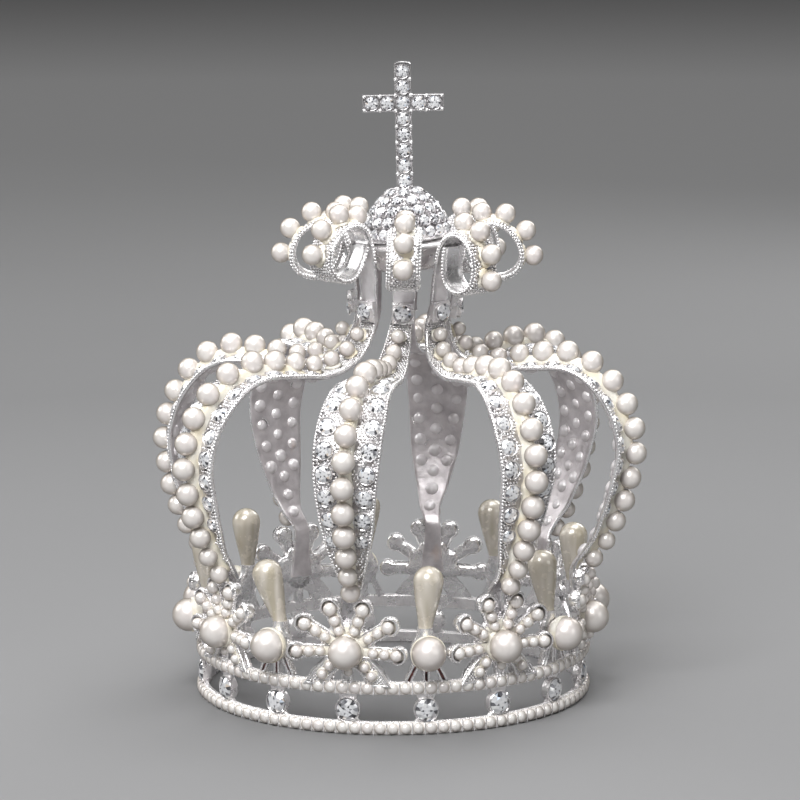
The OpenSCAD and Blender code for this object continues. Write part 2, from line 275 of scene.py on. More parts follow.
@dataclass(frozen=True)
class PearlLustre(Finish):
    """Imitation pearl: a cream body under a clear nacre coat, warmer towards its edge and darker there as
    painted shade.
    """

    slot: Slot = Slot.PEARL
    heart: Colour = (0.87, 0.83, 0.795)
    # Painted shade: the dark warm colour of the body towards its outline, as seen from the eye.
    edge: Colour = (0.24, 0.18, 0.11)
    blush: Colour = (0.81, 0.745, 0.725)
    sheen: Colour = (0.6, 0.56, 0.54)

    def dress(self, bench: Bench) -> None:
        """Adds the body colour, the rim's warmth and painted shade, and the nacre."""
        body = bench.mix(bench.patches(170, 3, 0, 0.7, 0.4, 0.72), self.heart, self.blush)
        bench.set(
            Base_Color=bench.mix(bench.rim(0.95, 0.14), body, self.edge), Metallic=0.3,
            Roughness=bench.patches(700, 2, 0.3, 0.4), Specular_IOR_Level=0.6,
            Specular_Tint=(*self.sheen, 1.0), Coat_Weight=0.9, Coat_Roughness=0.27)
        bench.bump(bench.noise(2200, 2), 0.00001)


@dataclass(frozen=True)
class TeardropLustre(Finish):
    """Champagne pearl with long pale and dark streaks painted on as the reflections of a glassy drop, and
    painted shade at its outline.
    """

    slot: Slot = Slot.CREAM
    # Painted reflections: pale and dark streaks along the drop.
    bands: Tuple[Tuple[float, Colour], ...] = (
        (0.3, (0.45, 0.4, 0.31)), (0.44, (0.6, 0.55, 0.465)), (0.56, (0.7, 0.65, 0.575)),
        (0.7, (0.51, 0.46, 0.36)))
    # Painted shade at the drop's outline.
    edge: Colour = (0.42, 0.37, 0.27)
    stretch: Tuple[float, float, float] = (1, 1, 0.06)

    def dress(self, bench: Bench) -> None:
        """Adds the painted reflection streaks along the drop and a darker rim of painted shade."""
        band = bench.noise(330, 1, self.stretch)
        bench.set(
            Base_Color=bench.mix(bench.rim(0.8, 0.25), bench.ramp(band, self.bands), self.edge),
            Metallic=0.15, Roughness=bench.patches(500, 2, 0.2, 0.3), Coat_Weight=0.9,
            Coat_Roughness=0.05)
        bench.bump(band, 0.00008)


@dataclass(frozen=True)
class CutCrystal(Finish):
    """Foil-backed cut stone. Each facet's flash is painted into its colour, dark to white with a few coloured
    flashes: painted glints and reflections.
    """

    slot: Slot = Slot.CRYSTAL
    dark: float = 0.2
    metal: float = 0.5
    play: float = 1.0
    drift: float = 0.22

    def dress(self, bench: Bench) -> None:
        """Adds the facets' painted glints and reflections from the stones' attributes."""
        painted_glint = bench.math("MULTIPLY", bench.attribute("painted_glint"), self.play)
        drift = bench.math("MULTIPLY", bench.attribute("tone"), self.drift)
        turn = bench.math("FRACT", bench.math("ADD", painted_glint, drift))
        painted_glint_colour = bench.ramp(turn, (
            (0.0, (0.04, 0.04, 0.045)), (self.dark, (0.2, 0.2, 0.22)),
            (self.dark + 0.1, (0.68, 0.69, 0.72)), (0.5, (0.96, 0.97, 1)), (0.84, (1, 1, 1)),
            (0.88, (0.72, 0.84, 1)), (0.93, (1, 0.86, 0.72)), (0.98, (0.3, 0.3, 0.33))))
        bench.set(
            Base_Color=painted_glint_colour, Metallic=self.metal, Roughness=bench.patches(600, 2, 0.05, 0.14),
            Coat_Weight=1.0, Coat_Roughness=0.02)


@dataclass(frozen=True)
class Cement(Finish):
    """Cream cement that sets the pearls, smooth and a little glassy."""

    slot: Slot = Slot.PEARL
    pale: Colour = (0.88, 0.85, 0.77)
    warm: Colour = (0.84, 0.74, 0.53)
    warmth: float = 0.8

    def dress(self, bench: Bench) -> None:
        """Adds the cement's uneven cream and its soft lumps."""
        bench.set(
            Base_Color=bench.mix(bench.patches(210, 4, 0, self.warmth, 0.4), self.pale, self.warm),
            Roughness=bench.patches(600, 3, 0.2, 0.45), Coat_Weight=0.4)
        bench.bump(bench.noise(900, 3), 0.00015)


@dataclass(frozen=True)
class CopperRecess(Finish):
    """Bare reddish metal at the foot of a channel, dulled by handling."""

    dark: Colour = (0.04, 0.025, 0.025)
    red: Colour = (0.26, 0.1, 0.09)

    def dress(self, bench: Bench) -> None:
        """Adds copper between dark and red."""
        bench.set(
            Base_Color=bench.mix(bench.patches(500, 4, 0, 1, 0.4, 0.65), self.dark, self.red),
            Metallic=0.7, Roughness=bench.patches(700, 2, 0.3, 0.5))
        bench.bump(bench.noise(1500, 3), 0.00008)


@dataclass(frozen=True)
class PaleFloor(Finish):
    """Plain matt paper for the floor, darker near the crown as painted shade and paler far out as painted
    light where the lamps don't reach.
    """

    # Painted shade: the darker paper round the crown.
    near: Colour = (0.2, 0.2, 0.203)
    mottle: Colour = (0.19, 0.19, 0.193)
    # Painted light: the paler paper far out.
    far: Colour = (0.55, 0.55, 0.555)
    reach: Tuple[float, float] = (0.5, 2.5)

    def dress(self, bench: Bench) -> None:
        """Adds a faint mottle, and the painted shade near the crown that turns to painted light, a paler
        tone, by distance from it.
        """
        away = bench.node("ShaderNodeVectorMath", {"operation": "LENGTH"}, Vector=bench.place)
        far = bench.span(away.outputs["Value"], 0, 1, *self.reach)
        paper = bench.mix(bench.noise(6, 2), self.near, self.mottle)
        bench.set(Base_Color=bench.mix(far, paper, self.far), Roughness=0.85)


POLISHED = SilverPlate("polished silver plate", rough=(0.16, 0.34), copper=0.2, metal=0.88)
BEADED = SilverPlate(
    "beaded silver plate", bright=(1.0, 1.0, 1.0), dull=(0.88, 0.86, 0.86), rough=(0.16, 0.3),
    copper=0.12, metal=0.7)
# The straps' matt backs: a rougher finish, darker as painted shade.
SHADED_MATT = SilverPlate(
    "matt silver plate with painted shade", bright=(0.8, 0.76, 0.77), dull=(0.56, 0.52, 0.53), rough=(0.28, 0.5),
    grain=0.00011, grain_scale=800.0, metal=0.75)
CAST = SilverPlate(
    "cast silver plate", bright=(0.98, 0.95, 0.96), dull=(0.76, 0.72, 0.73), rough=(0.3, 0.46),
    grain=0.00016, grain_scale=700.0, metal=0.45)
PLAIN = SilverPlate(
    "satin silver plate", bright=(0.97, 0.95, 0.95), dull=(0.8, 0.77, 0.78), rough=(0.2, 0.4),
    grain=0.00014, copper=0.12, metal=0.8)
# Darker silver for channels, recessed faces and cups: painted shade in the hollows.
SHADED_RECESS = SilverPlate(
    "silver plate with painted recess shade", bright=(0.7, 0.68, 0.69), dull=(0.34, 0.33, 0.34), rough=(0.18, 0.38),
    grain=0.0002, grain_scale=1100.0, copper=0.2, metal=0.9)
# Near-black plate: painted shadow for the stones' wells and the dome's slot.
SHADOW = SilverPlate(
    "painted shadow plate", bright=(0.3, 0.29, 0.29), dull=(0.14, 0.13, 0.13), rough=(0.35, 0.55), copper=0.1)
PEARL = PearlLustre("pearl lustre")
# The half pearls' edge colour is painted shade at their outline too.
HALF_PEARL = PearlLustre(
    "half pearl lustre", heart=(0.93, 0.9, 0.87), edge=(0.38, 0.31, 0.24), blush=(0.88, 0.82, 0.81))
TEARDROP = TeardropLustre("champagne drop lustre")
CRYSTAL = CutCrystal("foil-backed crystal", dark=0.24, metal=0.4)
RHINESTONE = CutCrystal("small rhinestone", dark=0.22, metal=0.35)
DOME_STONE = CutCrystal("dome rhinestone", dark=0.26, metal=0.4, play=0.85, drift=0.35)
CEMENT = Cement("cream cement")
NACRE_BED = Cement("nacre bed", pale=(0.93, 0.89, 0.86), warm=(0.86, 0.81, 0.76), warmth=0.4)
PALE_CEMENT = Cement("pale cement", warmth=0.3)
COPPER = CopperRecess("copper recess")
FLOOR = PaleFloor("pale floor")


def unit(v: np.ndarray) -> np.ndarray:
    """Vectors scaled to length 1 along their last axis."""
    return v / np.maximum(np.linalg.norm(v, axis=-1, keepdims=True), 1e-12)


def spin(radius: float, angle: float, height: float = 0.0) -> np.ndarray:
    """Point at a radius, an angle in radians from the front towards +X, and a height."""
    return np.array([radius * math.sin(angle), -radius * math.cos(angle), height])


def framed(x: Sequence[float], y: Sequence[float], z: Sequence[float], at: Sequence[float]) -> np.ndarray:
    """The 4 by 4 matrix of a frame with these axes and this origin."""
    return np.vstack([np.column_stack([x, y, z, at]), (0, 0, 0, 1)])


def outward(radius: float, angle: float, height: float) -> np.ndarray:
    """Frame at a place round the axis: X along the band, Y up, Z outward.

    Args:
        radius: distance from the axis in millimetres.
        angle: degrees from the front, towards +X.
        height: height in millimetres.

    Returns:
        A 4 by 4 matrix.
    """
    a = math.radians(angle)
    return framed((math.cos(a), math.sin(a), 0), (0, 0, 1), spin(1, a), spin(radius, a, height))


def shifted(x: float, y: float, turn: float = 0.0) -> np.ndarray:
    """Frame moved by x and y and turned about its Z axis by a number of degrees."""
    c, s = math.cos(math.radians(turn)), math.sin(math.radians(turn))
    return framed((c, s, 0), (-s, c, 0), (0, 0, 1), (x, y, 0))


def moved(points: np.ndarray, place: Optional[np.ndarray]) -> np.ndarray:
    """Points carried by a 4 by 4 matrix, or left alone."""
    points = np.asarray(points, float).reshape(-1, 3)
    return points if place is None else points @ place[:3, :3].T + place[:3, 3]


def inset(plan: np.ndarray, by: float) -> np.ndarray:
    """Plan moved inward.

    Args:
        plan: points of a loop that runs anticlockwise.
        by: the distance.

    Returns:
        The moved loop.
    """
    sides = (np.roll(plan, -1, 0) - plan, plan - np.roll(plan, 1, 0))
    a, b = (unit(np.stack([-d[:, 1], d[:, 0]], 1)) for d in sides)
    middle = unit(a + b)
    return plan + middle * (by / np.maximum((middle * a).sum(1), 0.5))[:, None]


def eased(knots: np.ndarray, values: np.ndarray, at: np.ndarray) -> np.ndarray:
    """Values between knots on a smooth curve.

    Args:
        knots: rising parameters, one for each row of values.
        values: rows.
        at: parameters to read.

    Returns:
        A row for each parameter.
    """
    at = np.clip(np.atleast_1d(at), knots[0], knots[-1])
    k = np.clip(np.searchsorted(knots, at, side="right") - 1, 0, len(knots) - 2)
    width = knots[k + 1] - knots[k]
    x = ((at - knots[k]) / width)[:, None]
    slope = np.gradient(values, knots, axis=0)
    width = width[:, None]
    return (
        values[k] * (2 * x ** 3 - 3 * x ** 2 + 1) + values[k + 1] * (3 * x ** 2 - 2 * x ** 3)
        + slope[k] * width * (x ** 3 - 2 * x ** 2 + x) + slope[k + 1] * width * (x ** 3 - x ** 2))


def shown(name: str, data: bpy.types.ID) -> bpy.types.Object:
    """Puts a mesh, lamp or camera into the scene as an object.

    Args:
        name: the object's name.
        data: the mesh, lamp or camera.

    Returns:
        The object.
    """
    made = bpy.data.objects.new(name, data)
    bpy.context.scene.collection.objects.link(made)
    return made


def loose_solids(node: str) -> List[np.ndarray]:
    """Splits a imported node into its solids.

    Args:
        node: the node's name.

    Returns:
        The points of each solid in millimetres.
    """
    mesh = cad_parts[node].data
    co = np.empty(len(mesh.vertices) * 3)
    mesh.vertices.foreach_get("co", co)
    co = co.reshape(-1, 3) / MM
    corner = np.empty(len(mesh.loops), int)
    mesh.loops.foreach_get("vertex_index", corner)
    same = np.unique(np.round(co, 3), axis=0, return_inverse=True)[1].reshape(-1)
    corner = same[corner].reshape(-1, 3)
    label = np.arange(same.max() + 1)
    before = None
    while before is None or (label != before).any():
        before = label.copy()
        low = label[corner].min(1)
        for k in range(3):
            np.minimum.at(label, corner[:, k], low)
        label = label[label]
    of_point = label[same]
    return [co[of_point == k] for k in np.unique(of_point)]


def balls(node: str) -> List[Tuple[np.ndarray, float]]:
    """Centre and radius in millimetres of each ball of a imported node."""
    ends = [(points.min(0), points.max(0)) for points in loose_solids(node)]
    return [((low + high) / 2, float((high - low).max() / 2)) for low, high in ends]


def hand_over(piece: bpy.types.Object, replaced: Sequence[str] = ()) -> None:
    """Gives a finished piece to the frame.

    Args:
        piece: the piece.
        replaced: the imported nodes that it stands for.
    """
    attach(piece, ROOT)
    if replaced:
        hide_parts(*replaced)
    log.info("%s: %d faces", piece.name, len(piece.data.polygons))


class Shape:
    """Closed solids gathered for one mesh, in millimetres."""

    def __init__(self) -> None:
        """Starts with nothing."""
        self.points: List[np.ndarray] = []
        self.faces: List[Tuple[int, ...]] = []
        self.marks: List[int] = []
        self.count = 0

    def add(self, points: np.ndarray, faces: Iterable[Sequence[int]], mark: int = 0,
            place: Optional[np.ndarray] = None) -> None:
        """Adds one solid.

        Args:
            points: its points.
            faces: its faces as indices of points.
            mark: which of the mesh's finishes it takes.
            place: where it goes.
        """
        points = moved(points, place)
        added = [tuple(self.count + k for k in f) for f in faces]
        self.points.append(points)
        self.faces += added
        self.marks += [mark] * len(added)
        self.count += len(points)

    def stack(self, loops: Sequence[np.ndarray], mark: int = 0, place: Optional[np.ndarray] = None,
              levels: Optional[Dict[int, int]] = None) -> None:
        """Joins loops of equal length into a solid and caps both ends.

        Args:
            loops: the loops, from one end to the other.
            mark: which finish.
            place: where it goes.
            levels: other finishes by the number of the level, counted from the first loop. The number of
                loops less 1 is the last cap.
        """
        n = len(loops[0])
        faces = [
            (k * n + j, k * n + (j + 1) % n, (k + 1) * n + (j + 1) % n, (k + 1) * n + j)
            for k in range(len(loops) - 1) for j in range(n)]
        last = (len(loops) - 1) * n
        faces += [tuple(range(last, last + n)), tuple(range(n - 1, -1, -1))]
        start = len(self.marks)
        self.add(np.concatenate(loops), faces, mark, place)
        for level, other in (levels or {}).items():
            count = 1 if level == len(loops) - 1 else n
            self.marks[start + level * n:start + level * n + count] = [other] * count

    def plate(self, plan: Sequence[Sequence[float]], steps: Steps, mark: int = 0,
              place: Optional[np.ndarray] = None, levels: Optional[Dict[int, int]] = None) -> None:
        """Raises a plan into a solid.

        Args:
            plan: its outline, anticlockwise.
            steps: how far inward each loop lies, and how high, as one height or one for each point.
            mark: which finish.
            place: where it goes.
            levels: other finishes, as in a stack.
        """
        loops = []
        for by, z in steps:
            flat = inset(np.asarray(plan), by)
            loops.append(np.column_stack([flat, np.broadcast_to(z, len(flat))]))
        self.stack(loops, mark, place, levels)

    def lathe(self, profile: Sequence[Tuple[float, float]], steps: int, mark: int = 0,
              place: Optional[np.ndarray] = None, closed: bool = False) -> None:
        """Turns a profile about Z.

        Args:
            profile: radius and height pairs. It starts and ends on the axis, unless closed.
            steps: steps round the axis.
            mark: which finish.
            place: where it goes.
            closed: joins the profile's end to its start, for a ring.
        """
        angles = np.arange(steps) * 2 * math.pi / steps
        points: List[np.ndarray] = []
        rows: List[List[int]] = []
        count = 0
        for r, z in profile:
            on_axis = r < 1e-6
            ring = np.stack([r * np.cos(angles), r * np.sin(angles), np.full(steps, z)], 1)
            points.append(np.array([[0, 0, z]]) if on_axis else ring)
            rows.append([count] * steps if on_axis else list(range(count, count + steps)))
            count += len(points[-1])
        faces = []
        for a, b in list(zip(rows, rows[1:])) + ([(rows[-1], rows[0])] if closed else []):
            for j in range(steps):
                i = (j + 1) % steps
                quad = [a[j], a[i], b[i], b[j]]
                face = [v for k, v in enumerate(quad) if v != quad[k - 1]]
                if len(face) > 2:
                    faces.append(face)
        self.add(np.concatenate(points), faces, mark, place)

    def brick(self, low: Sequence[float], high: Sequence[float], chamfer: float, place: np.ndarray) -> None:
        """Adds a block.

        Args:
            low: its lowest corner.
            high: its highest corner.
            chamfer: the cut along its top edges.
            place: where it goes.
        """
        (x0, y0, z0), (x1, y1, z1) = low, high
        plan = [(x0, y0), (x1, y0), (x1, y1), (x0, y1)]
        self.plate(plan, ((0.0, z0), (0.0, z1 - chamfer), (chamfer, z1)), place=place)

    def mesh(self, name: str, finishes: Sequence[Finish], crease: float = 35.0) -> bpy.types.Object:
        """Makes the mesh's object, with outward faces.

        Args:
            name: the piece's name.
            finishes: one for each mark.
            crease: edges sharper than this many degrees stay sharp.

        Returns:
            The object.
        """
        data = bpy.data.meshes.new(name)
        data.from_pydata((np.concatenate(self.points) * MM).tolist(), [], self.faces)
        for finish in finishes:
            data.materials.append(finish.material())
        data.polygons.foreach_set("material_index", self.marks)
        work = bmesh.new()
        work.from_mesh(data)
        bmesh.ops.recalc_face_normals(work, faces=work.faces)
        for face in work.faces:
            face.smooth = True
        for edge in work.edges:
            edge.smooth = edge.calc_face_angle(math.pi) < math.radians(crease)
        work.to_mesh(data)
        work.free()
        return shown(name, data)

    def give(self, name: str, *finishes: Finish, crease: float = 35.0, replaced: Sequence[str] = ()) -> None:
        """Makes the object and gives it to the frame."""
        hand_over(self.mesh(name, finishes, crease), replaced)


class Tree(Nodes):
    """Builds one Geometry Nodes tree with named inputs."""

    def __init__(self, name: str, **asked: str) -> None:
        """Starts a tree that takes and gives geometry, with inputs for unevenness, seed and finish.

        Args:
            name: the tree's name.
            asked: kinds of its further inputs by name, such as Float, Int, Object or Bool.
        """
        super().__init__(bpy.data.node_groups.new(name, "GeometryNodeTree"))
        self.group.interface.new_socket("Geometry", in_out="OUTPUT", socket_type="NodeSocketGeometry")
        wanted = {"Geometry": "Geometry", **asked, "Spread": "Float", "Seed": "Int", "Finish": "Material"}
        for title, kind in wanted.items():
            self.group.interface.new_socket(title, in_out="INPUT", socket_type="NodeSocket" + kind)
        self.source = self.group.nodes.new("NodeGroupInput")
        self.sink = self.group.nodes.new("NodeGroupOutput")

    def given(self, name: str) -> Socket:
        """The value of a named input."""
        return self.source.outputs[name]

    def out(self, kind: str, settings: Optional[Dict[str, object]] = None, **inputs: object) -> Socket:
        """Adds a node and gives its first output in use."""
        return next(s for s in self.node(kind, settings, **inputs).outputs if s.enabled)

    def named(self, name: str, kind: str = "FLOAT") -> Socket:
        """Reads a named attribute of the points."""
        return self.out("GeometryNodeInputNamedAttribute", {"data_type": kind}, Name=name)

    def chance(self, low: object, high: object, seed: Socket) -> Socket:
        """A random value for each point."""
        return self.out("FunctionNodeRandomValue", {"data_type": "FLOAT"}, Min=low, Max=high, Seed=seed)

    def spread_size(self) -> Socket:
        """A size factor for each piece, 1 less or more the Spread input, from the Seed input."""
        spread = self.given("Spread")
        least, most = (self.math(way, 1.0, spread) for way in ("SUBTRACT", "ADD"))
        return self.chance(least, most, self.given("Seed"))

    def turned(self, aim: Socket, up: object) -> Socket:
        """The turn that points Z along an aim and Y along an up direction."""
        return self.out(
            "FunctionNodeAxesToRotation", {"primary_axis": "Z", "secondary_axis": "Y"}, Primary_Axis=aim,
            Secondary_Axis=up)

    def at_points(self) -> Socket:
        """The turn that the points' own aim and up attributes give."""
        return self.turned(self.named("aim", "FLOAT_VECTOR"), self.named("up", "FLOAT_VECTOR"))

    def ball(self, kind: str, **inputs: object) -> Socket:
        """A smooth ball, made by a mesh node of that kind."""
        ball = self.out("GeometryNodeMesh" + kind, **inputs)
        return self.out("GeometryNodeSetShadeSmooth", Geometry=ball)

    def set_on(self, points: Socket, piece: Socket, **inputs: object) -> Socket:
        """Sets a piece on points."""
        return self.out("GeometryNodeInstanceOnPoints", Points=points, Instance=piece, **inputs)

    def finish(self, placed: Socket) -> bpy.types.NodeTree:
        """Ends the tree: a tone for each piece, real geometry and the material.

        Args:
            placed: the pieces set on points.

        Returns:
            The tree.
        """
        tone = self.chance(0.0, 1.0, self.math("ADD", self.given("Seed"), 7.0))
        toned = self.out(
            "GeometryNodeStoreNamedAttribute", {"data_type": "FLOAT", "domain": "INSTANCE"}, Geometry=placed,
            Name="tone", Value=tone)
        real = self.out("GeometryNodeRealizeInstances", Geometry=toned)
        dressed = self.out("GeometryNodeSetMaterial", Geometry=real, Material=self.given("Finish"))
        self.group.links.new(dressed, self.sink.inputs[0])
        return self.group


def stones_tree() -> bpy.types.NodeTree:
    """Tree that sets a cut piece on each point, along the point's aim and up directions.

    Returns:
        The tree.
    """
    tree = Tree("stones on points", Piece="Object")
    piece = tree.node("GeometryNodeObjectInfo", Object=tree.given("Piece"))
    return tree.finish(tree.set_on(
        tree.given("Geometry"), piece.outputs["Geometry"], Rotation=tree.at_points(),
        Scale=tree.math("MULTIPLY", tree.named("size"), tree.spread_size())))


def beads_tree() -> bpy.types.NodeTree:
    """Tree that sets a smooth ball on each point, flattened along the point's aim.

    Returns:
        The tree.
    """
    tree = Tree("beads on points", Steps="Int", Rings="Int", Flatness="Float")
    ball = tree.ball("UVSphere", Segments=tree.given("Steps"), Rings=tree.given("Rings"), Radius=0.5)
    size = tree.math("MULTIPLY", tree.named("size"), tree.spread_size())
    flat = tree.out(
        "ShaderNodeCombineXYZ", X=size, Y=size, Z=tree.math("MULTIPLY", size, tree.given("Flatness")))
    return tree.finish(tree.set_on(tree.given("Geometry"), ball, Rotation=tree.at_points(), Scale=flat))


def row_tree() -> bpy.types.NodeTree:
    """Tree that sets small beads at an even pitch along every line it is given.

    Returns:
        The tree.
    """
    tree = Tree("beads along lines", Pitch="Float", Radius="Float")
    line = tree.out("GeometryNodeMeshToCurve", Mesh=tree.given("Geometry"))
    even = tree.out("GeometryNodeResampleCurve", {"mode": "LENGTH"}, Curve=line, Length=tree.given("Pitch"))
    ball = tree.ball("IcoSphere", Radius=tree.given("Radius"), Subdivisions=1)
    return tree.finish(tree.set_on(even, ball, Scale=tree.spread_size()))


def ring_tree() -> bpy.types.NodeTree:
    """Tree that sets flattened balls or bars evenly round the axis, facing outward.

    Returns:
        The tree.
    """
    tree = Tree(
        "pieces round the axis", Count="Int", Radius="Float", Height="Float", Width="Float", Tall="Float",
        Depth="Float", Bars="Bool")
    circle = tree.out("GeometryNodeMeshCircle", Vertices=tree.given("Count"), Radius=tree.given("Radius"))
    choice = tree.out(
        "GeometryNodeSwitch", {"input_type": "GEOMETRY"}, Switch=tree.given("Bars"),
        **{"False": tree.ball("UVSphere", Segments=14, Rings=8, Radius=0.5),
           "True": tree.out("GeometryNodeMeshCube", Size=(1, 1, 1))})
    turn = tree.turned(tree.out("GeometryNodeInputPosition"), (0, 0, 1))
    size = tree.out(
        "ShaderNodeCombineXYZ", X=tree.given("Width"), Y=tree.given("Tall"), Z=tree.given("Depth"))
    scale = tree.out("ShaderNodeVectorMath", {"operation": "SCALE"}, Vector=size, Scale=tree.spread_size())
    placed = tree.set_on(circle, choice, Rotation=turn, Scale=scale)
    lift = tree.out("ShaderNodeCombineXYZ", Z=tree.given("Height"))
    return tree.finish(tree.out("GeometryNodeTransform", Geometry=placed, Translation=lift))


class Kit:
    """The crown's Geometry Nodes trees and cut pieces, each made once."""

    def __init__(self) -> None:
        """Builds the trees and the pattern pieces."""
        self.stones = stones_tree()
        self.beads = beads_tree()
        self.row = row_tree()
        self.ring = ring_tree()
        self.stone = self.pattern_stone()
        metres = np.diag([1 / MM, 1 / MM, 1 / MM, 1.0])
        cup = Shape()
        cup.lathe(
            [(0.49, -0.3), (0.56, -0.3), (0.56, 0.03), (0.54, 0.06), (0.5, 0.03)], 18, place=metres,
            closed=True)
        self.cup = cup.mesh("pattern_cup", [POLISHED])
        # Painted shadow: a dark disc under each stone that outlines it in its cup.
        shadow_well = Shape()
        shadow_well.lathe(
            [(0, -0.29), (0.5, -0.29), (0.5, 0.0), (0.465, 0.0), (0.43, -0.26), (0, -0.26)], 16,
            place=metres)
        self.shadow_well = shadow_well.mesh("pattern_well", [SHADOW])

    @staticmethod
    def circle(r: float, z: float, count: int, turn: float) -> List[Tuple[float, float, float]]:
        """Even points of a circle, a little slim so that its cup shows."""
        angles = [math.radians(turn + 360 / count * k) for k in range(count)]
        return [(0.94 * r * math.cos(a), 0.94 * r * math.sin(a), z) for a in angles]

    @staticmethod
    def pattern_stone() -> bpy.types.Object:
        """Cuts a round stone of diameter 1 with its girdle at Z = 0, each facet with its own level of painted
        glint.

        Returns:
            The stone.
        """
        points = (
            [(0, 0, 0.16)] + Kit.circle(0.15, 0.16, 8, 22.5) + Kit.circle(0.29, 0.16, 8, 0)
            + Kit.circle(0.39, 0.11, 8, 22.5) + Kit.circle(0.5, 0.02, 16, 0)
            + Kit.circle(0.5, -0.02, 16, 0) + [(0, 0, -0.3)])
        inner, table, star, top, low, culet = 1, 9, 17, 25, 41, 57
        faces: List[Tuple[int, ...]] = []
        for j in range(8):
            i = (j + 1) % 8
            left, middle, right = top + 2 * j, top + 2 * j + 1, top + (2 * j + 2) % 16
            faces += [
                (0, inner + j, inner + i), (inner + j, table + j, table + i),
                (inner + j, table + i, inner + i), (table + j, star + j, table + i),
                (table + j, left, star + j), (table + i, star + j, right), (star + j, left, middle),
                (star + j, middle, right)]
        for j in range(16):
            i = (j + 1) % 16
            faces += [(top + j, low + j, low + i, top + i), (low + j, culet, low + i)]
        data = bpy.data.meshes.new("pattern stone")
        data.from_pydata(points, [], faces)
        # Painted glints: each facet's brightness level, in eight sectors of light and dark.
        lean = np.repeat([0.58, 0.22, 0.5, 0.36, 0.6, 0.12, 0.53, 0.26], 8)
        step = np.tile([0.02, 0.09, -0.22, 0.08, 0.2, -0.3, 0.15, -0.22], 8)
        crown = lean + step + np.random.default_rng(5).normal(0, 0.08, 64)
        painted_glints = np.clip(np.concatenate([crown, np.tile([0.1, 0.4], 16)]), 0, 1)
        data.attributes.new("painted_glint", "FLOAT", "FACE").data.foreach_set("value", painted_glints)
        return shown("pattern_stone", data)

    def grow(self, name: str, base: bpy.types.Mesh, tree: bpy.types.NodeTree, values: Dict[str, object],
             finish: Finish, replaced: Sequence[str] = (), turn: float = 0.0) -> None:
        """Runs a tree on a mesh, keeps the result as a plain mesh and hands it over.

        Args:
            name: the new piece's name.
            base: the mesh that the tree reads.
            tree: the tree.
            values: the tree's inputs by name.
            finish: the pieces' finish.
            replaced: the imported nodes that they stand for.
            turn: how far the result is turned about Z, in radians.
        """
        work = shown(name + "_work", base)
        modifier = work.modifiers.new("tree", "NODES")
        modifier.node_group = tree
        inputs = {s.name: s.identifier for s in tree.interface.items_tree if s.in_out == "INPUT"}
        for key, value in {**values, "Finish": finish.material()}.items():
            modifier[inputs[key]] = value
        bpy.context.view_layer.update()
        graph = bpy.context.evaluated_depsgraph_get()
        data = bpy.data.meshes.new_from_object(work.evaluated_get(graph), depsgraph=graph)
        data.name = name
        bpy.data.objects.remove(work)
        if turn:
            data.transform(Matrix.Rotation(turn, 4, "Z"))
        hand_over(shown(name, data), replaced)

    @staticmethod
    def spots(points: np.ndarray, aims: np.ndarray, sizes: object, seed: int) -> bpy.types.Mesh:
        """A mesh of points with the attributes that the trees read.

        Args:
            points: places in millimetres.
            aims: outward directions.
            sizes: diameters in millimetres, for each or for all.
            seed: seed of the turn about each aim.

        Returns:
            The mesh.
        """
        n = len(points)
        data = bpy.data.meshes.new("spots")
        data.from_pydata((np.asarray(points) * MM).tolist(), [], [])
        ups = np.random.default_rng(seed).normal(size=(n, 3))
        for name, values in (("aim", aims), ("up", ups)):
            data.attributes.new(name, "FLOAT_VECTOR", "POINT").data.foreach_set(
                "vector", np.asarray(values, np.float32).ravel())
        data.attributes.new("size", "FLOAT", "POINT").data.foreach_set(
            "value", (np.broadcast_to(sizes, (n,)) * MM).astype(np.float32))
        return data

    def set_pieces(self, name: str, pattern: bpy.types.Object, points: np.ndarray, aims: np.ndarray,
                   sizes: object, finish: Finish, seed: int, replaced: Sequence[str] = (),
                   spread: float = EVEN) -> None:
        """Sets a pattern piece on points and hands the result over.

        Args:
            name: the piece's name.
            pattern: the pattern, of diameter 1.
            points: places in millimetres.
            aims: outward directions.
            sizes: diameters in millimetres, for each or for all.
            finish: their finish.
            seed: seed of their turn and unevenness.
            replaced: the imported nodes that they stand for.
            spread: how uneven they are.
        """
        self.grow(
            name, self.spots(points, aims, sizes, seed), self.stones,
            {"Piece": pattern, "Spread": spread, "Seed": seed}, finish, replaced)

    def set_balls(self, name: str, points: np.ndarray, aims: np.ndarray, sizes: object, finish: Finish,
                  steps: int, rings: int, flatness: float = 1.0, spread: float = EVEN, seed: int = 0,
                  replaced: Sequence[str] = ()) -> None:
        """Sets smooth balls on points and hands them over.

        Args:
            name: the piece's name.
            points: places in millimetres.
            aims: outward directions.
            sizes: diameters in millimetres, for each or for all.
            finish: their finish.
            steps: a ball's steps round its axis.
            rings: a ball's steps from pole to pole.
            flatness: height of a ball over its width.
            spread: how uneven they are.
            seed: seed of their unevenness.
            replaced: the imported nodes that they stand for.
        """
        self.grow(
            name, self.spots(points, aims, sizes, seed), self.beads,
            {"Steps": steps, "Rings": rings, "Flatness": flatness, "Spread": spread, "Seed": seed}, finish,
            replaced)

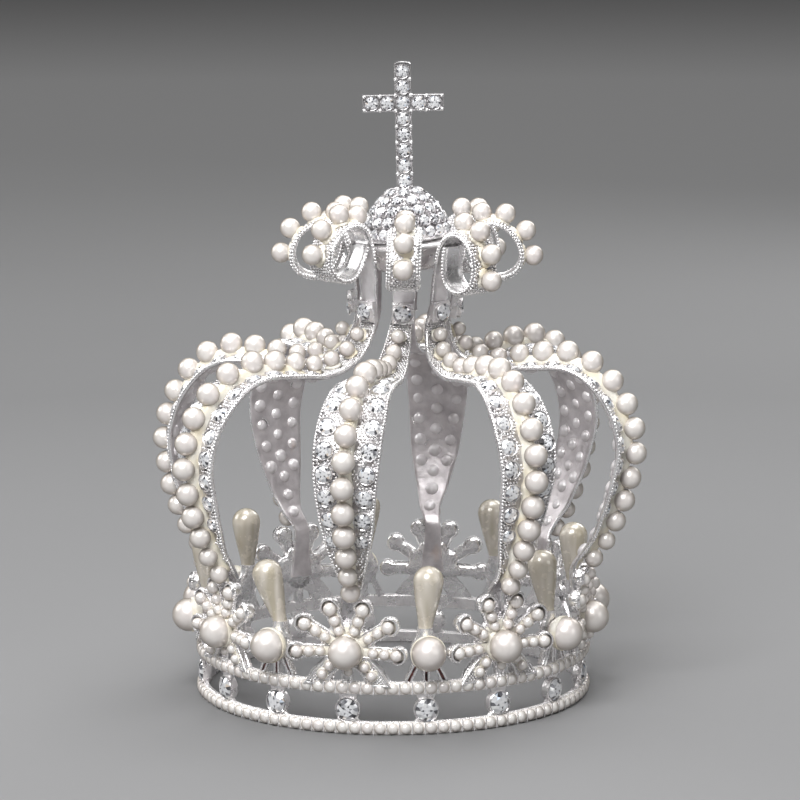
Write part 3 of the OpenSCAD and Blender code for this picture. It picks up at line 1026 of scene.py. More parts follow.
    def set_rows(self, name: str, lines: Sequence[np.ndarray], pitch: float, radius: float, seed: int,
                 closed: bool = False) -> None:
        """Sets rows of small silver beads along lines and hands them over.

        Args:
            name: the piece's name.
            lines: points of each line in millimetres.
            pitch: distance between beads.
            radius: radius of a bead.
            seed: seed of their unevenness.
            closed: whether each line is a loop.
        """
        edges, start = [], 0
        for line in lines:
            n = len(line)
            edges += [(start + k, start + k + 1) for k in range(n - 1)]
            if closed:
                edges.append((start + n - 1, start))
            start += n
        data = bpy.data.meshes.new("lines")
        data.from_pydata((np.concatenate(lines) * MM).tolist(), edges, [])
        values = {"Pitch": pitch * MM, "Radius": radius * MM, "Spread": 0.12, "Seed": seed}
        self.grow(name, data, self.row, values, BEADED)

    def set_ring(self, name: str, count: int, radius: float, height: float, size: Sequence[float],
                 bars: bool, finish: Finish, seed: int, replaced: Sequence[str] = ()) -> None:
        """Sets balls or bars round the axis and hands them over.

        Args:
            name: the piece's name.
            count: how many.
            radius: distance from the axis in millimetres.
            height: their height.
            size: width, height and depth of one.
            bars: bars in place of balls, half a step further round.
            finish: their finish.
            seed: seed of their unevenness.
            replaced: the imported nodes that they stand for.
        """
        lengths = zip(("Radius", "Height", "Width", "Tall", "Depth"), (radius, height, *size))
        values = {**{key: value * MM for key, value in lengths}, "Count": count, "Bars": bars}
        self.grow(
            name, bpy.data.meshes.new("start"), self.ring, {**values, "Spread": EVEN, "Seed": seed}, finish,
            replaced, math.pi / count if bars else 0.0)

    def set_gems(self, name: str, points: np.ndarray, aims: np.ndarray, sizes: object, finish: Finish,
                 seed: int, replaced: Sequence[str] = (), cup: Finish = POLISHED) -> None:
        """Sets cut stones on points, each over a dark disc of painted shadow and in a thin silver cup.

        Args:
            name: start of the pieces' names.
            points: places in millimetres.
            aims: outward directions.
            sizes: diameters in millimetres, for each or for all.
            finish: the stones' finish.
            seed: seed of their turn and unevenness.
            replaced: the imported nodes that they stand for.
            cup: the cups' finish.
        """
        self.set_pieces(name + "_stones", self.stone, points, aims, sizes, finish, seed, replaced)
        self.set_pieces(name + "_wells", self.shadow_well, points, aims, sizes, SHADOW, seed, spread=0.0)
        self.set_pieces(name + "_cups", self.cup, points, aims, sizes, cup, seed, spread=0.0)

    def close(self) -> None:
        """Removes the patterns once every piece is set."""
        for pattern in (self.stone, self.cup, self.shadow_well):
            bpy.data.objects.remove(pattern)


class StrapPath:
    """The centre line, width and face of an arch's strap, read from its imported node."""

    MOST_STEPS = 12
    NECK_ROWS = 9
    TOUCH = 0.05

    def __init__(self, node: str, angle: float, curl: float) -> None:
        """Reads the strap's rows.

        Args:
            node: the arch's node.
            angle: the arch's angle from the front in degrees.
            curl: step in millimetres by which the rolled end is led on until it meets the neck.
        """
        start = outward(1, angle, 0)
        across, out = start[:3, 0], start[:3, 2]
        centre, wide, face, half_w, half_t = [], [], [], [], []
        for four in self.rows(node):
            order = np.argsort(np.linalg.norm(four - four[0], axis=1))
            near, far = four[order[:2]], four[order[2:]]
            w = far.mean(0) - near.mean(0)
            w = w if w @ across > 0 else -w
            across = w / np.linalg.norm(w)
            u = near[0] - near[1]
            u = u if u @ out > 0 else -u
            out = u / np.linalg.norm(u)
            centre.append(four.mean(0))
            wide.append(across)
            face.append(out)
            half_w.append(np.linalg.norm(w) / 2)
            half_t.append(np.linalg.norm(u) / 2)
        ahead, behind = centre[-1] - centre[-2], centre[-2] - centre[-3]
        reach = np.linalg.norm(ahead)
        turn = math.acos(min(1.0, ahead @ behind / reach / np.linalg.norm(behind)))
        bend = np.array(Quaternion(unit(np.cross(behind, ahead)), turn * curl / reach).to_matrix())
        rise = centre[:int(np.argmax([c[2] for c in centre]))]
        share = np.linspace(0, 1, 9)[:, None]
        pairs = zip(rise[-self.NECK_ROWS:], rise[1 - self.NECK_ROWS:])
        neck = np.concatenate([a + (b - a) * share for a, b in pairs])
        ahead = ahead * curl / reach
        for _ in range(self.MOST_STEPS):
            if np.linalg.norm(neck - centre[-1], axis=1).min() < half_t[-1] * 2 + self.TOUCH:
                break
            ahead = bend @ ahead
            centre.append(centre[-1] + ahead)
            face.append(bend @ face[-1])
            for column in (wide, half_w, half_t):
                column.append(column[-1])
        self.centre = np.array(centre)
        steps = np.linalg.norm(np.diff(self.centre, axis=0), axis=1)
        self.knots = np.concatenate([[0], np.cumsum(steps)])
        self.table = np.column_stack([self.centre, wide, face, half_w, half_t])
        self.length = float(self.knots[-1])

    @staticmethod
    def rows(node: str) -> List[np.ndarray]:
        """Reads the four corners of each section, from the foot up.

        Args:
            node: the arch's node.

        Returns:
            Four points for each section.
        """
        work = bmesh.new()
        work.from_mesh(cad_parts[node].data)
        bmesh.ops.remove_doubles(work, verts=work.verts, dist=1e-6)
        row = sorted(work.verts, key=lambda v: v.co.z)[:4]
        seen = set()
        rows = []
        while len(row) == 4:
            seen.update(row)
            rows.append(np.array([v.co[:] for v in row]) / MM)
            following = {e.other_vert(v) for v in row for e in v.link_edges} - seen
            row = sorted(following, key=lambda v: v.co[:])
        work.free()
        return rows

    def read(self, s: np.ndarray) -> Tuple[np.ndarray, np.ndarray, np.ndarray, np.ndarray, np.ndarray]:
        """Centre, width direction, face direction, half width and half thickness at lengths s."""
        got = eased(self.knots, self.table, s)
        return got[:, :3], unit(got[:, 3:6]), unit(got[:, 6:9]), got[:, 9], got[:, 10]

    def at(self, s: np.ndarray, v: np.ndarray, rise: object = 0.0,
           side: object = 1.0) -> Tuple[np.ndarray, np.ndarray]:
        """Points of the strap's face or back.

        Args:
            s: lengths along the strap.
            v: distances across it from its middle.
            rise: height above its surface, for each point or for all.
            side: 1 for the face and -1 for the back, for each point or for all.

        Returns:
            The points and the surface's directions there.
        """
        c, w, n, _, t = self.read(s)
        n = n * np.broadcast_to(side, (len(n),))[:, None]
        return c + w * np.asarray(v)[:, None] + n * (t + rise)[:, None], n

    def seat_of(self, point: np.ndarray, radius: float) -> Tuple[float, float]:
        """Finds where a pearl is seated.

        Args:
            point: the pearl's centre.
            radius: its radius.

        Returns:
            The length along the strap, and the side: 1 for the face and -1 for the back.
        """
        s = np.linspace(0, self.length, 1200)
        c, _, n, _, t = self.read(s)
        away = {
            side: np.linalg.norm(c + n * side * (t + radius)[:, None] - point, axis=1)
            for side in (1.0, -1.0)}
        side = min(away, key=lambda key: away[key].min())
        return float(s[np.argmin(away[side])]), side


@dataclass
class Arch:
    """One arch: a cast strap with pearls, rhinestones, beaded fields and a scroll.

    The first leaf_pearls of its pearls stand on the face, and the others run over the scroll's outer side.
    """

    number: int
    angle: float
    kit: Kit
    leaf_pearls: int = 17
    stone_rows: Tuple[int, int] = (2, 13)
    stone: float = 4.2
    small_stone: float = 3.5
    broad: float = 6.2
    narrow: float = 4.9
    margin: float = 0.72
    bead: float = 0.85
    bead_pitch: float = 0.9
    fine_bead: float = 0.62
    fine_pitch: float = 0.7
    scroll_bead: float = 0.78
    scroll_pitch: float = 0.9
    rim: float = 0.28
    bump: float = 3.4
    blobs: int = 5
    cement_rows: Tuple[Tuple[float, float], ...] = (
        (0, 0.72), (45, 0.78), (75, 0.92), (100, 1.05), (150, 1.12))
    curl: float = 0.5
    scroll_growth: float = 1.08
    columns: int = 12
    step: float = 0.9
    neck_height: float = 100.2
    scroll_lead: float = 13.0
    path: StrapPath = field(init=False)
    pearls: List[Tuple[float, float, float]] = field(init=False)
    seats: List[Tuple[float, float, float]] = field(init=False)

    def __post_init__(self) -> None:
        """Reads the strap and its pearls from the frame, and lays out the side stones."""
        self.path = StrapPath("arch_%d" % self.number, self.angle, self.curl)
        found = balls("arch_pearls_%d" % self.number)
        self.pearls = sorted((*self.path.seat_of(c, r), r) for c, r in found)
        self.seats = []
        for k in range(*self.stone_rows):
            middle = (self.pearls[k][0] + self.pearls[k + 1][0]) / 2
            half = self.path.read(np.array([middle]))[3][0]
            size = self.stone if half > self.broad else self.small_stone
            if half >= self.narrow:
                self.seats += [(middle, side * (half - self.margin - size / 2), size) for side in (-1, 1)]

    @property
    def first(self) -> float:
        """Length along the strap at its first pearl."""
        return self.pearls[0][0]

    @property
    def valley(self) -> float:
        """Length along the strap where the leaf ends and the neck starts."""
        return self.pearls[self.leaf_pearls - 5][0]

    @property
    def neck(self) -> float:
        """Length along the strap at the neck stone."""
        path, last = self.path, self.pearls[self.leaf_pearls - 1][0]
        return float(path.knots[(path.centre[:, 2] > self.neck_height) & (path.knots > last)][0])

    @property
    def shoulder(self) -> float:
        """Length along the strap where the neck spreads into the scroll."""
        return self.neck + self.scroll_lead

    def section(self, half: float, thick: float) -> Tuple[np.ndarray, np.ndarray]:
        """Lays out one section of the strap: a rounded back, raised rims and a lower face between them.

        Args:
            half: half its width.
            thick: half its thickness.

        Returns:
            Distances across the strap and heights above its middle, in order round the section.
        """
        across = np.sin(np.linspace(-1, 1, self.columns) * math.pi / 2)
        fall = np.clip((1 - np.abs(across)) * half / 0.5, 0, 1)
        back = -thick * (0.45 + 0.55 * np.sqrt(1 - (1 - fall) ** 2))
        edge = half * (1 - min(self.rim / half, 0.3))
        v = np.array([half, half * 0.995, edge, edge - 0.15, 0.4 * half])
        h = np.array([0.25, 0.75, 1.0, 0.55, 0.5]) * thick
        return np.concatenate([across * half, v, -v[::-1]]), np.concatenate([back, h, h[::-1]])

    def strap(self) -> None:
        """Builds the strap with its matt back, its channel and the scroll's back darkened as painted shade,
        and its cast neck.
        """
        s = np.linspace(0, self.path.length, int(self.path.length / self.step))
        loops = []
        for c, w, n, half, thick in zip(*self.path.read(s)):
            v, h = self.section(half, thick)
            loops.append(c + w * v[:, None] + n * h[:, None])
        shape = Shape()
        shape.stack(loops)
        # Mark 2, the recess finish, paints shade in the face's channel and on the scroll's beaded back.
        matt, dark, cast = 1, 2, 3
        wide, back = len(loops[0]), self.columns - 1
        for k, at in enumerate(s[:-1]):
            row = k * wide
            shape.marks[row:row + back] = [matt if at < self.shoulder else dark] * back
            if at < self.shoulder + 3.0:
                low, high = row + self.columns + 3, row + wide - 3
                shape.marks[low:high] = [dark if at < self.neck - 3.0 else cast] * (high - low)
        shape.give(
            "arch_strap_%d" % self.number, POLISHED, SHADED_MATT, SHADED_RECESS, CAST, crease=60,
            replaced=["arch_%d" % self.number])

    def bumps(self) -> None:
        """Sets the bumps that the seats of the pearls and stones leave on the strap's back."""
        row = [(s, 0.0) for s, _, _ in self.pearls[:self.leaf_pearls]]
        s, v = np.array(row + [(s, v) for s, v, _ in self.seats]).T
        points, aims = self.path.at(s, v, rise=-0.15, side=-1)
        self.kit.set_balls(
            "arch_bumps_%d" % self.number, points, aims, self.bump, CAST, steps=11, rings=6, flatness=0.6,
            spread=0.14, seed=self.number)

    def line(self, start: float, stop: float, margin: float, sign: int, rise: float, side: int) -> np.ndarray:
        """A line along one side of the strap, a margin inside its edge."""
        s = np.arange(start, stop, 0.5)
        return self.path.at(s, sign * (self.path.read(s)[3] - margin), rise, side)[0]

    def edges(self) -> None:
        """Beads both edges of the leaf, of the neck and of the scroll."""
        end = self.path.length - 0.3
        for name, start, stop, side, margins, pitch, radius, seed in (
                ("arch", self.first - 1.5, self.valley, 1, ((0.42, -0.05),), self.bead_pitch,
                 self.bead / 2, 0),
                ("neck", self.valley, self.neck - 3.4, 1, ((0.32, -0.05),), self.fine_pitch,
                 self.fine_bead / 2, 20),
                ("scroll", self.shoulder, end, -1, ((-0.05, -0.5), (0.55, 0.05)), 0.88, 0.42, 40)):
            lines = [
                self.line(start, stop, margin, sign, rise, side)
                for sign in (-1, 1) for margin, rise in margins]
            self.kit.set_rows(
                "%s_edge_beads_%d" % (name, self.number), lines, pitch, radius, seed + self.number)

    def free(self, s: float, v: np.ndarray, side: float, size: float) -> np.ndarray:
        """Tells which places across the strap are clear of pearls and stones.

        Args:
            s: length along the strap.
            v: places across it.
            side: 1 for the face and -1 for the back.
            size: diameter of what is to be set there.

        Returns:
            True or false for each place.
        """
        keep = np.ones(len(v), bool)
        for at, seat_side, r in self.pearls:
            if seat_side == side:
                keep &= (s - at) ** 2 + v ** 2 > (0.86 * r + size / 2) ** 2
        for at, across, d in self.seats:
            keep &= (s - at) ** 2 + (v - across) ** 2 > (d / 2 + 0.18 + size * 0.3) ** 2
        return keep

    def field_beads(self) -> None:
        """Fills the face round the pearls and stones, and the scroll's outer side, with fine beads."""
        points, aims, sizes = [], [], []
        rng = np.random.default_rng(self.number)
        for start, stop, pitch, size, margin, side, rise in (
                (self.first - 1.0, self.valley, self.bead_pitch, self.bead * 0.95, 0.98, 1.0, -0.16),
                (self.valley, self.neck - 3.6, self.fine_pitch, self.fine_bead, 0.72, 1.0, -0.16),
                (self.shoulder, self.path.length - 0.6, self.scroll_pitch, self.scroll_bead, 1.1, -1.0,
                 0.02)):
            for row, s in enumerate(np.arange(start, stop, pitch * 0.88)):
                half = float(self.path.read(np.array([s]))[3][0]) - margin
                v = np.arange(-12, 12) * pitch + (row % 2) * pitch / 2
                v = v[np.abs(v) < half]
                v = v[self.free(s, v, side, size)]
                if len(v):
                    p, n = self.path.at(np.full(len(v), s), v, rise, side)
                    points.append(p)
                    aims.append(n)
                    sizes.append(size * rng.uniform(0.9, 1.1, len(v)))
        self.kit.set_balls(
            "arch_field_beads_%d" % self.number, np.concatenate(points), np.concatenate(aims),
            np.concatenate(sizes), BEADED, steps=6, rings=3, spread=0.06, seed=self.number)

    def stones(self) -> None:
        """Sets the rhinestones of the sides in thin cups."""
        s, v, d = np.array(self.seats).T
        points, aims = self.path.at(s, v, 0.35)
        rng = np.random.default_rng(self.number)
        aims = unit(aims + rng.normal(0, 0.06, aims.shape))
        self.kit.set_gems("arch_%d" % self.number, points, aims, d, RHINESTONE, 60 + self.number)

    def cement(self) -> None:
        """Beds every pearl of the arch in cement."""
        s, side, radius = (np.repeat(column, self.blobs) for column in np.array(self.pearls).T)
        rng = np.random.default_rng(self.number)
        rich = np.interp(s, *zip(*self.cement_rows)) * radius
        away = np.tile(np.arange(self.blobs) > 0, len(self.pearls)) * rich
        turn = rng.uniform(0, 2 * math.pi, len(s))
        loose = np.clip(rich / radius - 0.62, 0.1, 1)
        points, aims = self.path.at(
            s + 0.5 * away * np.cos(turn), away * loose * np.sin(turn), rng.uniform(0.1, 0.4, len(s)), side)
        leaf = s <= self.pearls[self.leaf_pearls - 7][0]
        core = np.where(leaf, 0.4, 1.6)
        blob = rng.uniform(0.9, 1.3, len(s)) * np.where(leaf, 0.75, 1.0)
        sizes = np.where(away > 0, blob, core) * rich
        for name, chosen, finish in (("arch", leaf, PALE_CEMENT), ("neck", ~leaf, CEMENT)):
            self.kit.set_balls(
                "%s_cement_%d" % (name, self.number), points[chosen], aims[chosen], sizes[chosen], finish,
                steps=9, rings=6, flatness=0.42, spread=0.08, seed=80 + self.number)

    def round_pearls(self) -> None:
        """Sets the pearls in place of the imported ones, those of the scroll a little larger."""
        node = "arch_pearls_%d" % self.number
        found = balls(node)
        points = np.array([c for c, _ in found])
        grow = [self.scroll_growth if self.path.seat_of(c, r)[1] < 0 else 1.0 for c, r in found]
        self.kit.set_balls(
            "arch_round_pearls_%d" % self.number, points, np.tile((0.0, 0.0, 1.0), (len(points), 1)),
            2 * np.array([r for _, r in found]) * grow, PEARL, steps=18, rings=11, spread=0.0,
            seed=self.number, replaced=[node])

    def ridge(self) -> None:
        """Runs a fillet of cement along the leaf's row of pearls."""
        row = np.array(self.pearls[:self.leaf_pearls - 4])
        s = np.arange(row[0, 0] - 1.8, row[-1, 0] + 1.5, 0.5)
        radius = np.interp(s, row[:, 0], row[:, 2])
        rng = np.random.default_rng(50 + self.number)
        wander = np.interp(s, s[::4], rng.uniform(-0.1, 0.1, len(s[::4])))
        ends = np.sqrt(np.clip(np.minimum(s - s[0], s[-1] - s) / 1.5, 0.03, 1))
        half, tall = radius * (0.6 + wander) * ends, radius * (0.8 + 0.6 * wander[::-1]) * ends
        turn = np.linspace(0, math.pi, 13)
        loops = []
        for k in range(len(s)):
            v = np.concatenate([[-half[k], half[k]], half[k] * np.cos(turn)])
            h = np.concatenate([[-0.3, -0.3], tall[k] * np.sin(turn) ** 0.8])
            flat, face = self.path.at(np.full(len(v), s[k]), v)
            loops.append(flat + face * h[:, None])
        shape = Shape()
        shape.stack(loops)
        shape.give("arch_fillet_%d" % self.number, CEMENT, crease=80)

    def neck_seat(self) -> None:
        """Builds the square block under the neck stone, with its bezel and corner prongs."""
        c, w, n, _, thick = (a[0] for a in self.path.read(np.array([self.neck])))
        place = framed(w, np.cross(n, w), n, c + n * thick)
        block = Shape()
        block.brick((-2.75, -2.7, -0.6), (2.75, 2.7, 0.95), 0.2, place)
        block.lathe(
            [(2.1, 0.5), (2.62, 0.5), (2.62, 1.7), (2.5, 1.86), (2.35, 1.7)], 28, place=place, closed=True)
        prong = [(0, 0.9), (0.3, 0.9), (0.3, 1.6), (0.2, 1.8), (0, 1.85)]
        for x in (-1.78, 1.78):
            for y in (-1.78, 1.78):
                block.lathe(prong, 8, place=place @ shifted(x, y))
        block.give("neck_block_%d" % self.number, PLAIN)

    def build(self) -> None:
        """Builds the whole arch."""
        self.strap()
        self.bumps()
        self.edges()
        self.field_beads()
        self.stones()
        self.cement()
        self.ridge()
        self.neck_seat()
        self.round_pearls()


@dataclass(frozen=True)
class Petal:
    """One petal of a floret: angle from level, reach to its tip cup, the cup's radius and its pearls."""

    angle: float
    reach: float
    cup: float
    beads: Tuple[float, ...]


@dataclass
class Floret:
    """A fan of six pearl-filled channels on three feet, with a big pearl at its heart."""

    number: int
    angle: float
    height: float
    kit: Kit
    back: float = 48.3
    plate: float = 1.8
    wall: float = 0.56
    half: float = 1.62
    root: float = 2.6
    tip_wall: float = 3.3
    tip_pearl: float = 3.45
    side_pearl: float = 3.2
    petal_pearls: Tuple[float, float] = (2.95, 2.7)
    heart_pearl: float = 8.35
    palm: float = 6.9
    foot_height: float = 12.8
    foot_pearls: Tuple[Tuple[float, float], ...] = ((4.5, -3.9), (6.3, -6.1))
    petals: Tuple[Petal, ...] = (
        Petal(31.5, 12.7, 2.45, (9.2, 6.35)), Petal(148.5, 12.7, 2.45, (9.2, 6.35)),
        Petal(68.5, 11.6, 2.45, (8.1, 5.4)), Petal(111.5, 11.6, 2.45, (8.1, 5.4)),
        Petal(-2.5, 13.0, 2.3, (9.6, 6.7)), Petal(182.5, 13.0, 2.3, (9.6, 6.7)))

    @property
    def place(self) -> np.ndarray:
        """The floret's frame, on the back of its plate."""
        return outward(self.back, self.angle, self.height)

    @property
    def foot(self) -> float:
        """Height of the feet's ends in the floret's frame."""
        return self.foot_height - self.height

    def outline(self, petal: Petal) -> np.ndarray:
        """Draws the plan of a petal along X, from its root round its tip and back.

        Args:
            petal: the petal.

        Returns:
            The plan, anticlockwise.
        """
        join = math.asin(min(self.half / petal.cup, 1.0))
        start = petal.reach - petal.cup * math.cos(join)
        along = np.linspace(self.root, start - 0.2, 6)
        side = [(x, -self.half - 0.12 * (x - self.root) / petal.reach) for x in along]
        arc = [
            (petal.reach + petal.cup * math.cos(t), petal.cup * math.sin(t))
            for t in np.linspace(-math.pi + join, math.pi - join, 14)]
        return np.array(side + arc + [(x, -y) for x, y in side[::-1]])

    @staticmethod
    def swell(plan: np.ndarray, petal: Petal) -> np.ndarray:
        """How far each point of a petal's plan is on the way from its channel, 0, to its cup, 1."""
        return np.clip((plan[:, 0] - petal.reach + 1.6) / 1.8, 0, 1)

    def channel(self, shape: Shape, plan: np.ndarray, tall: object, floor: float, place: np.ndarray,
                inside: int) -> None:
        """Adds a trough with a rounded back, raised walls and a level floor.

        Args:
            shape: where it goes.
            plan: its plan.
            tall: height of its walls, for each point of the plan or for all.
            floor: height of its floor.
            place: its frame.
            inside: finish of its inner walls and floor.
        """
        steps = (
            (0.95, 0.0), (0.45, 0.12), (0.12, 0.45), (0.0, 0.95), (0.0, tall - 0.1), (0.1, tall),
            (self.wall - 0.1, tall), (self.wall, tall - 0.1), (self.wall, np.minimum(floor, tall - 0.2)))
        shape.plate(plan, steps, place=place, levels={7: inside, 8: inside})

    def metal(self) -> None:
        """Builds petals, heart plate, palm and feet."""
        shape = Shape()
        for p in self.petals:
            plan = self.outline(p)
            rise = self.swell(plan, p)
            tall = self.plate + 0.35 + (self.tip_wall - self.plate - 0.35) * rise * rise * (3 - 2 * rise)
            self.channel(shape, plan, tall, self.plate - 0.5, self.place @ shifted(0, 0, p.angle), 1)
        shape.lathe(
            [(0, 0), (4.2, 0), (4.65, 0.4), (4.7, 1.0), (4.7, 1.9), (4.45, 2.05), (4.1, 1.7), (0, 1.7)],
            36, place=self.place)
        shape.plate(
            self.fan(), ((1.3, -0.55), (0.5, -0.4), (0.0, 0.1), (0.0, 1.2), (0.3, 1.5)), place=self.place)
        foot = self.foot
        right = np.array([
            (3.9, -1.6), (5.4, -2.6), (7.2, -4.4), (8.7, -6.2), (10.2, foot), (5.2, foot), (4.2, -5.7),
            (2.8, -4.3), (1.3, -3.4)])
        middle = np.array([(-1.45, foot), (1.45, foot), (1.35, -3.6), (-1.35, -3.6)])
        for plan, tall in ((right[::-1] * (-1, 1), 2.15), (right, 2.15), (middle, 2.1)):
            self.channel(shape, plan, tall, 1.5, self.place, 0)
        # Mark 1, the recess finish, darkens the petals' inner walls and floors: painted shade.
        shape.give(
            "floret_metal_%d" % self.number, POLISHED, SHADED_RECESS, crease=50,
            replaced=["floret_%d" % self.number])

    def fan(self) -> np.ndarray:
        """Draws the plan of the palm that joins the petals' roots.

        Returns:
            The plan, anticlockwise.
        """
        turns = sorted(p.angle for p in self.petals)
        knots = [-40.0] + sorted(turns + [(a + b) / 2 for a, b in zip(turns[:-1], turns[1:])]) + [220.0]
        reach = [2.8] + [self.palm + (0.0 if k % 2 else 1.2) for k in range(len(knots) - 2)] + [2.8]
        at = np.linspace(knots[0], knots[-1], 45)
        r, a = eased(np.array(knots), np.array(reach)[:, None], at)[:, 0], np.radians(at)
        return np.column_stack([r * np.cos(a), r * np.sin(a)])

    def spots(self) -> Tuple[np.ndarray, np.ndarray]:
        """Lays out the small pearls.

        Returns:
            Their centres in the floret's frame, and their diameters.
        """
        rows = []
        for p in self.petals:
            a = math.radians(p.angle)
            reach, tip = p.reach - 0.35, self.tip_pearl if p.cup > 2.4 else self.side_pearl
            rows.append((reach * math.cos(a), reach * math.sin(a), self.plate + 1.0, tip))
            rows += [
                (x * math.cos(a), x * math.sin(a), self.plate + 0.75, d)
                for x, d in zip(p.beads, self.petal_pearls)]
        rows += [(x * s, y, 2.4, 2.65) for s in (-1, 1) for x, y in self.foot_pearls]
        rows.append((0.3, -5.3, 2.1, 2.3))
        table = np.array(rows)
        return table[:, :3], table[:, 3]

    def pearls(self) -> None:
        """Sets the small pearls."""
        centres, sizes = self.spots()
        points = moved(centres, self.place)
        aims = np.broadcast_to(self.place[:3, 2], points.shape)
        self.kit.set_balls(
            "floret_small_pearls_%d" % self.number, points, aims, sizes, HALF_PEARL, steps=12, rings=8,
            spread=0.04, seed=self.number)

    def cement(self) -> None:
        """Fills the channels, the palm, the heart and the feet's seats with cement."""
        bed = Shape()
        for p in self.petals:
            turned = self.place @ shifted(0, 0, p.angle)
            plan = inset(self.outline(p), self.wall + 0.02)
            bed.plate(plan, ((0.0, 1.2), (0.0, 1.5), (0.3, 1.8), (0.7, 1.9)), place=turned)
            end, h = p.reach - 0.9, self.half - self.wall + 0.02
            plan = [(2.4, -h), (end - 0.6, -h - 0.1), (end, -0.6), (end, 0.6), (end - 0.6, h + 0.1), (2.4, h)]
            bed.plate(plan, ((0.0, 1.4), (0.0, 2.0), (0.25, 2.25), (0.6, 2.35)), place=turned)
        bed.plate(
            inset(self.fan(), 0.45), ((0.0, 1.2), (0.0, 1.7), (0.35, 2.0), (0.9, 2.15)), place=self.place)
        bed.lathe([(0, 1.6), (4.2, 1.6), (4.3, 2.4), (4.1, 2.9), (3.6, 3.2), (0, 3.2)], 32, place=self.place)
        lump = [(0, 1.2), (1.55, 1.2), (1.5, 2.1), (1.1, 2.4), (0, 2.45)]
        for s in (-1, 1):
            for x, y in self.foot_pearls:
                bed.lathe(lump, 16, place=self.place @ shifted(x * s, y))
        bed.give("floret_cement_%d" % self.number, PALE_CEMENT)

    def beads(self) -> None:
        """Beads the rungs of the feet, the palm's edge and the petals' walls."""
        lines = []
        low = self.foot + 0.35
        inner, outer = np.array([(2.2, -3.5), (5.6, low)]), np.array([(4.6, -1.9), (9.7, low)])
        for s in (-1, 1):
            for part in (0.08, 0.28, 0.5, 0.72, 0.92):
                flat = (inner + (outer - inner) * part) * (s, 1)
                lines.append(np.column_stack([flat, [1.95, 1.95]]))
        for y in (low, self.foot + 1.0):
            lines.append(np.array([(-0.9, y, 2.2), (0.9, y, 2.2)]))
        fan = inset(self.fan(), 0.5)
        lines.append(np.column_stack([fan, np.full(len(fan), 1.75)])[1:-1])
        for p in self.petals:
            plan = inset(self.outline(p), 0.06)[3:-3]
            wall = np.column_stack([plan, 1.9 + 0.5 * self.swell(plan, p)])
            lines.append(moved(wall, shifted(0, 0, p.angle)))
        self.kit.set_rows(
            "floret_beads_%d" % self.number, [moved(line, self.place) for line in lines], 0.62, 0.3,
            100 + self.number)

    def build(self) -> None:
        """Builds the floret."""
        self.metal()
        self.pearls()
        self.cement()
        self.beads()
        great_pearl("floret_pearl_%d" % self.number, self.angle, self.heart_pearl)


def great_pearl(node: str, angle: float, size: float) -> None:
    """Builds a big pearl in the place of a packed one, a little larger and standing a little further out.

    Args:
        node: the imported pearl.
        angle: its angle from the front in degrees.
        size: its diameter.
    """
    centre, radius = balls(node)[0]
    half = size / 2
    turns = np.radians(np.linspace(-81, 81, 19))
    rows = [(0.0, -half)] + [(half * math.cos(t), half * math.sin(t)) for t in turns] + [(0.0, half)]
    middle = centre + (half - radius) * spin(1, math.radians(angle))
    shape = Shape()
    shape.lathe(rows, 36, place=framed((1, 0, 0), (0, 1, 0), (0, 0, 1), middle))
    shape.give(node + "_ball", PEARL, crease=80, replaced=[node])


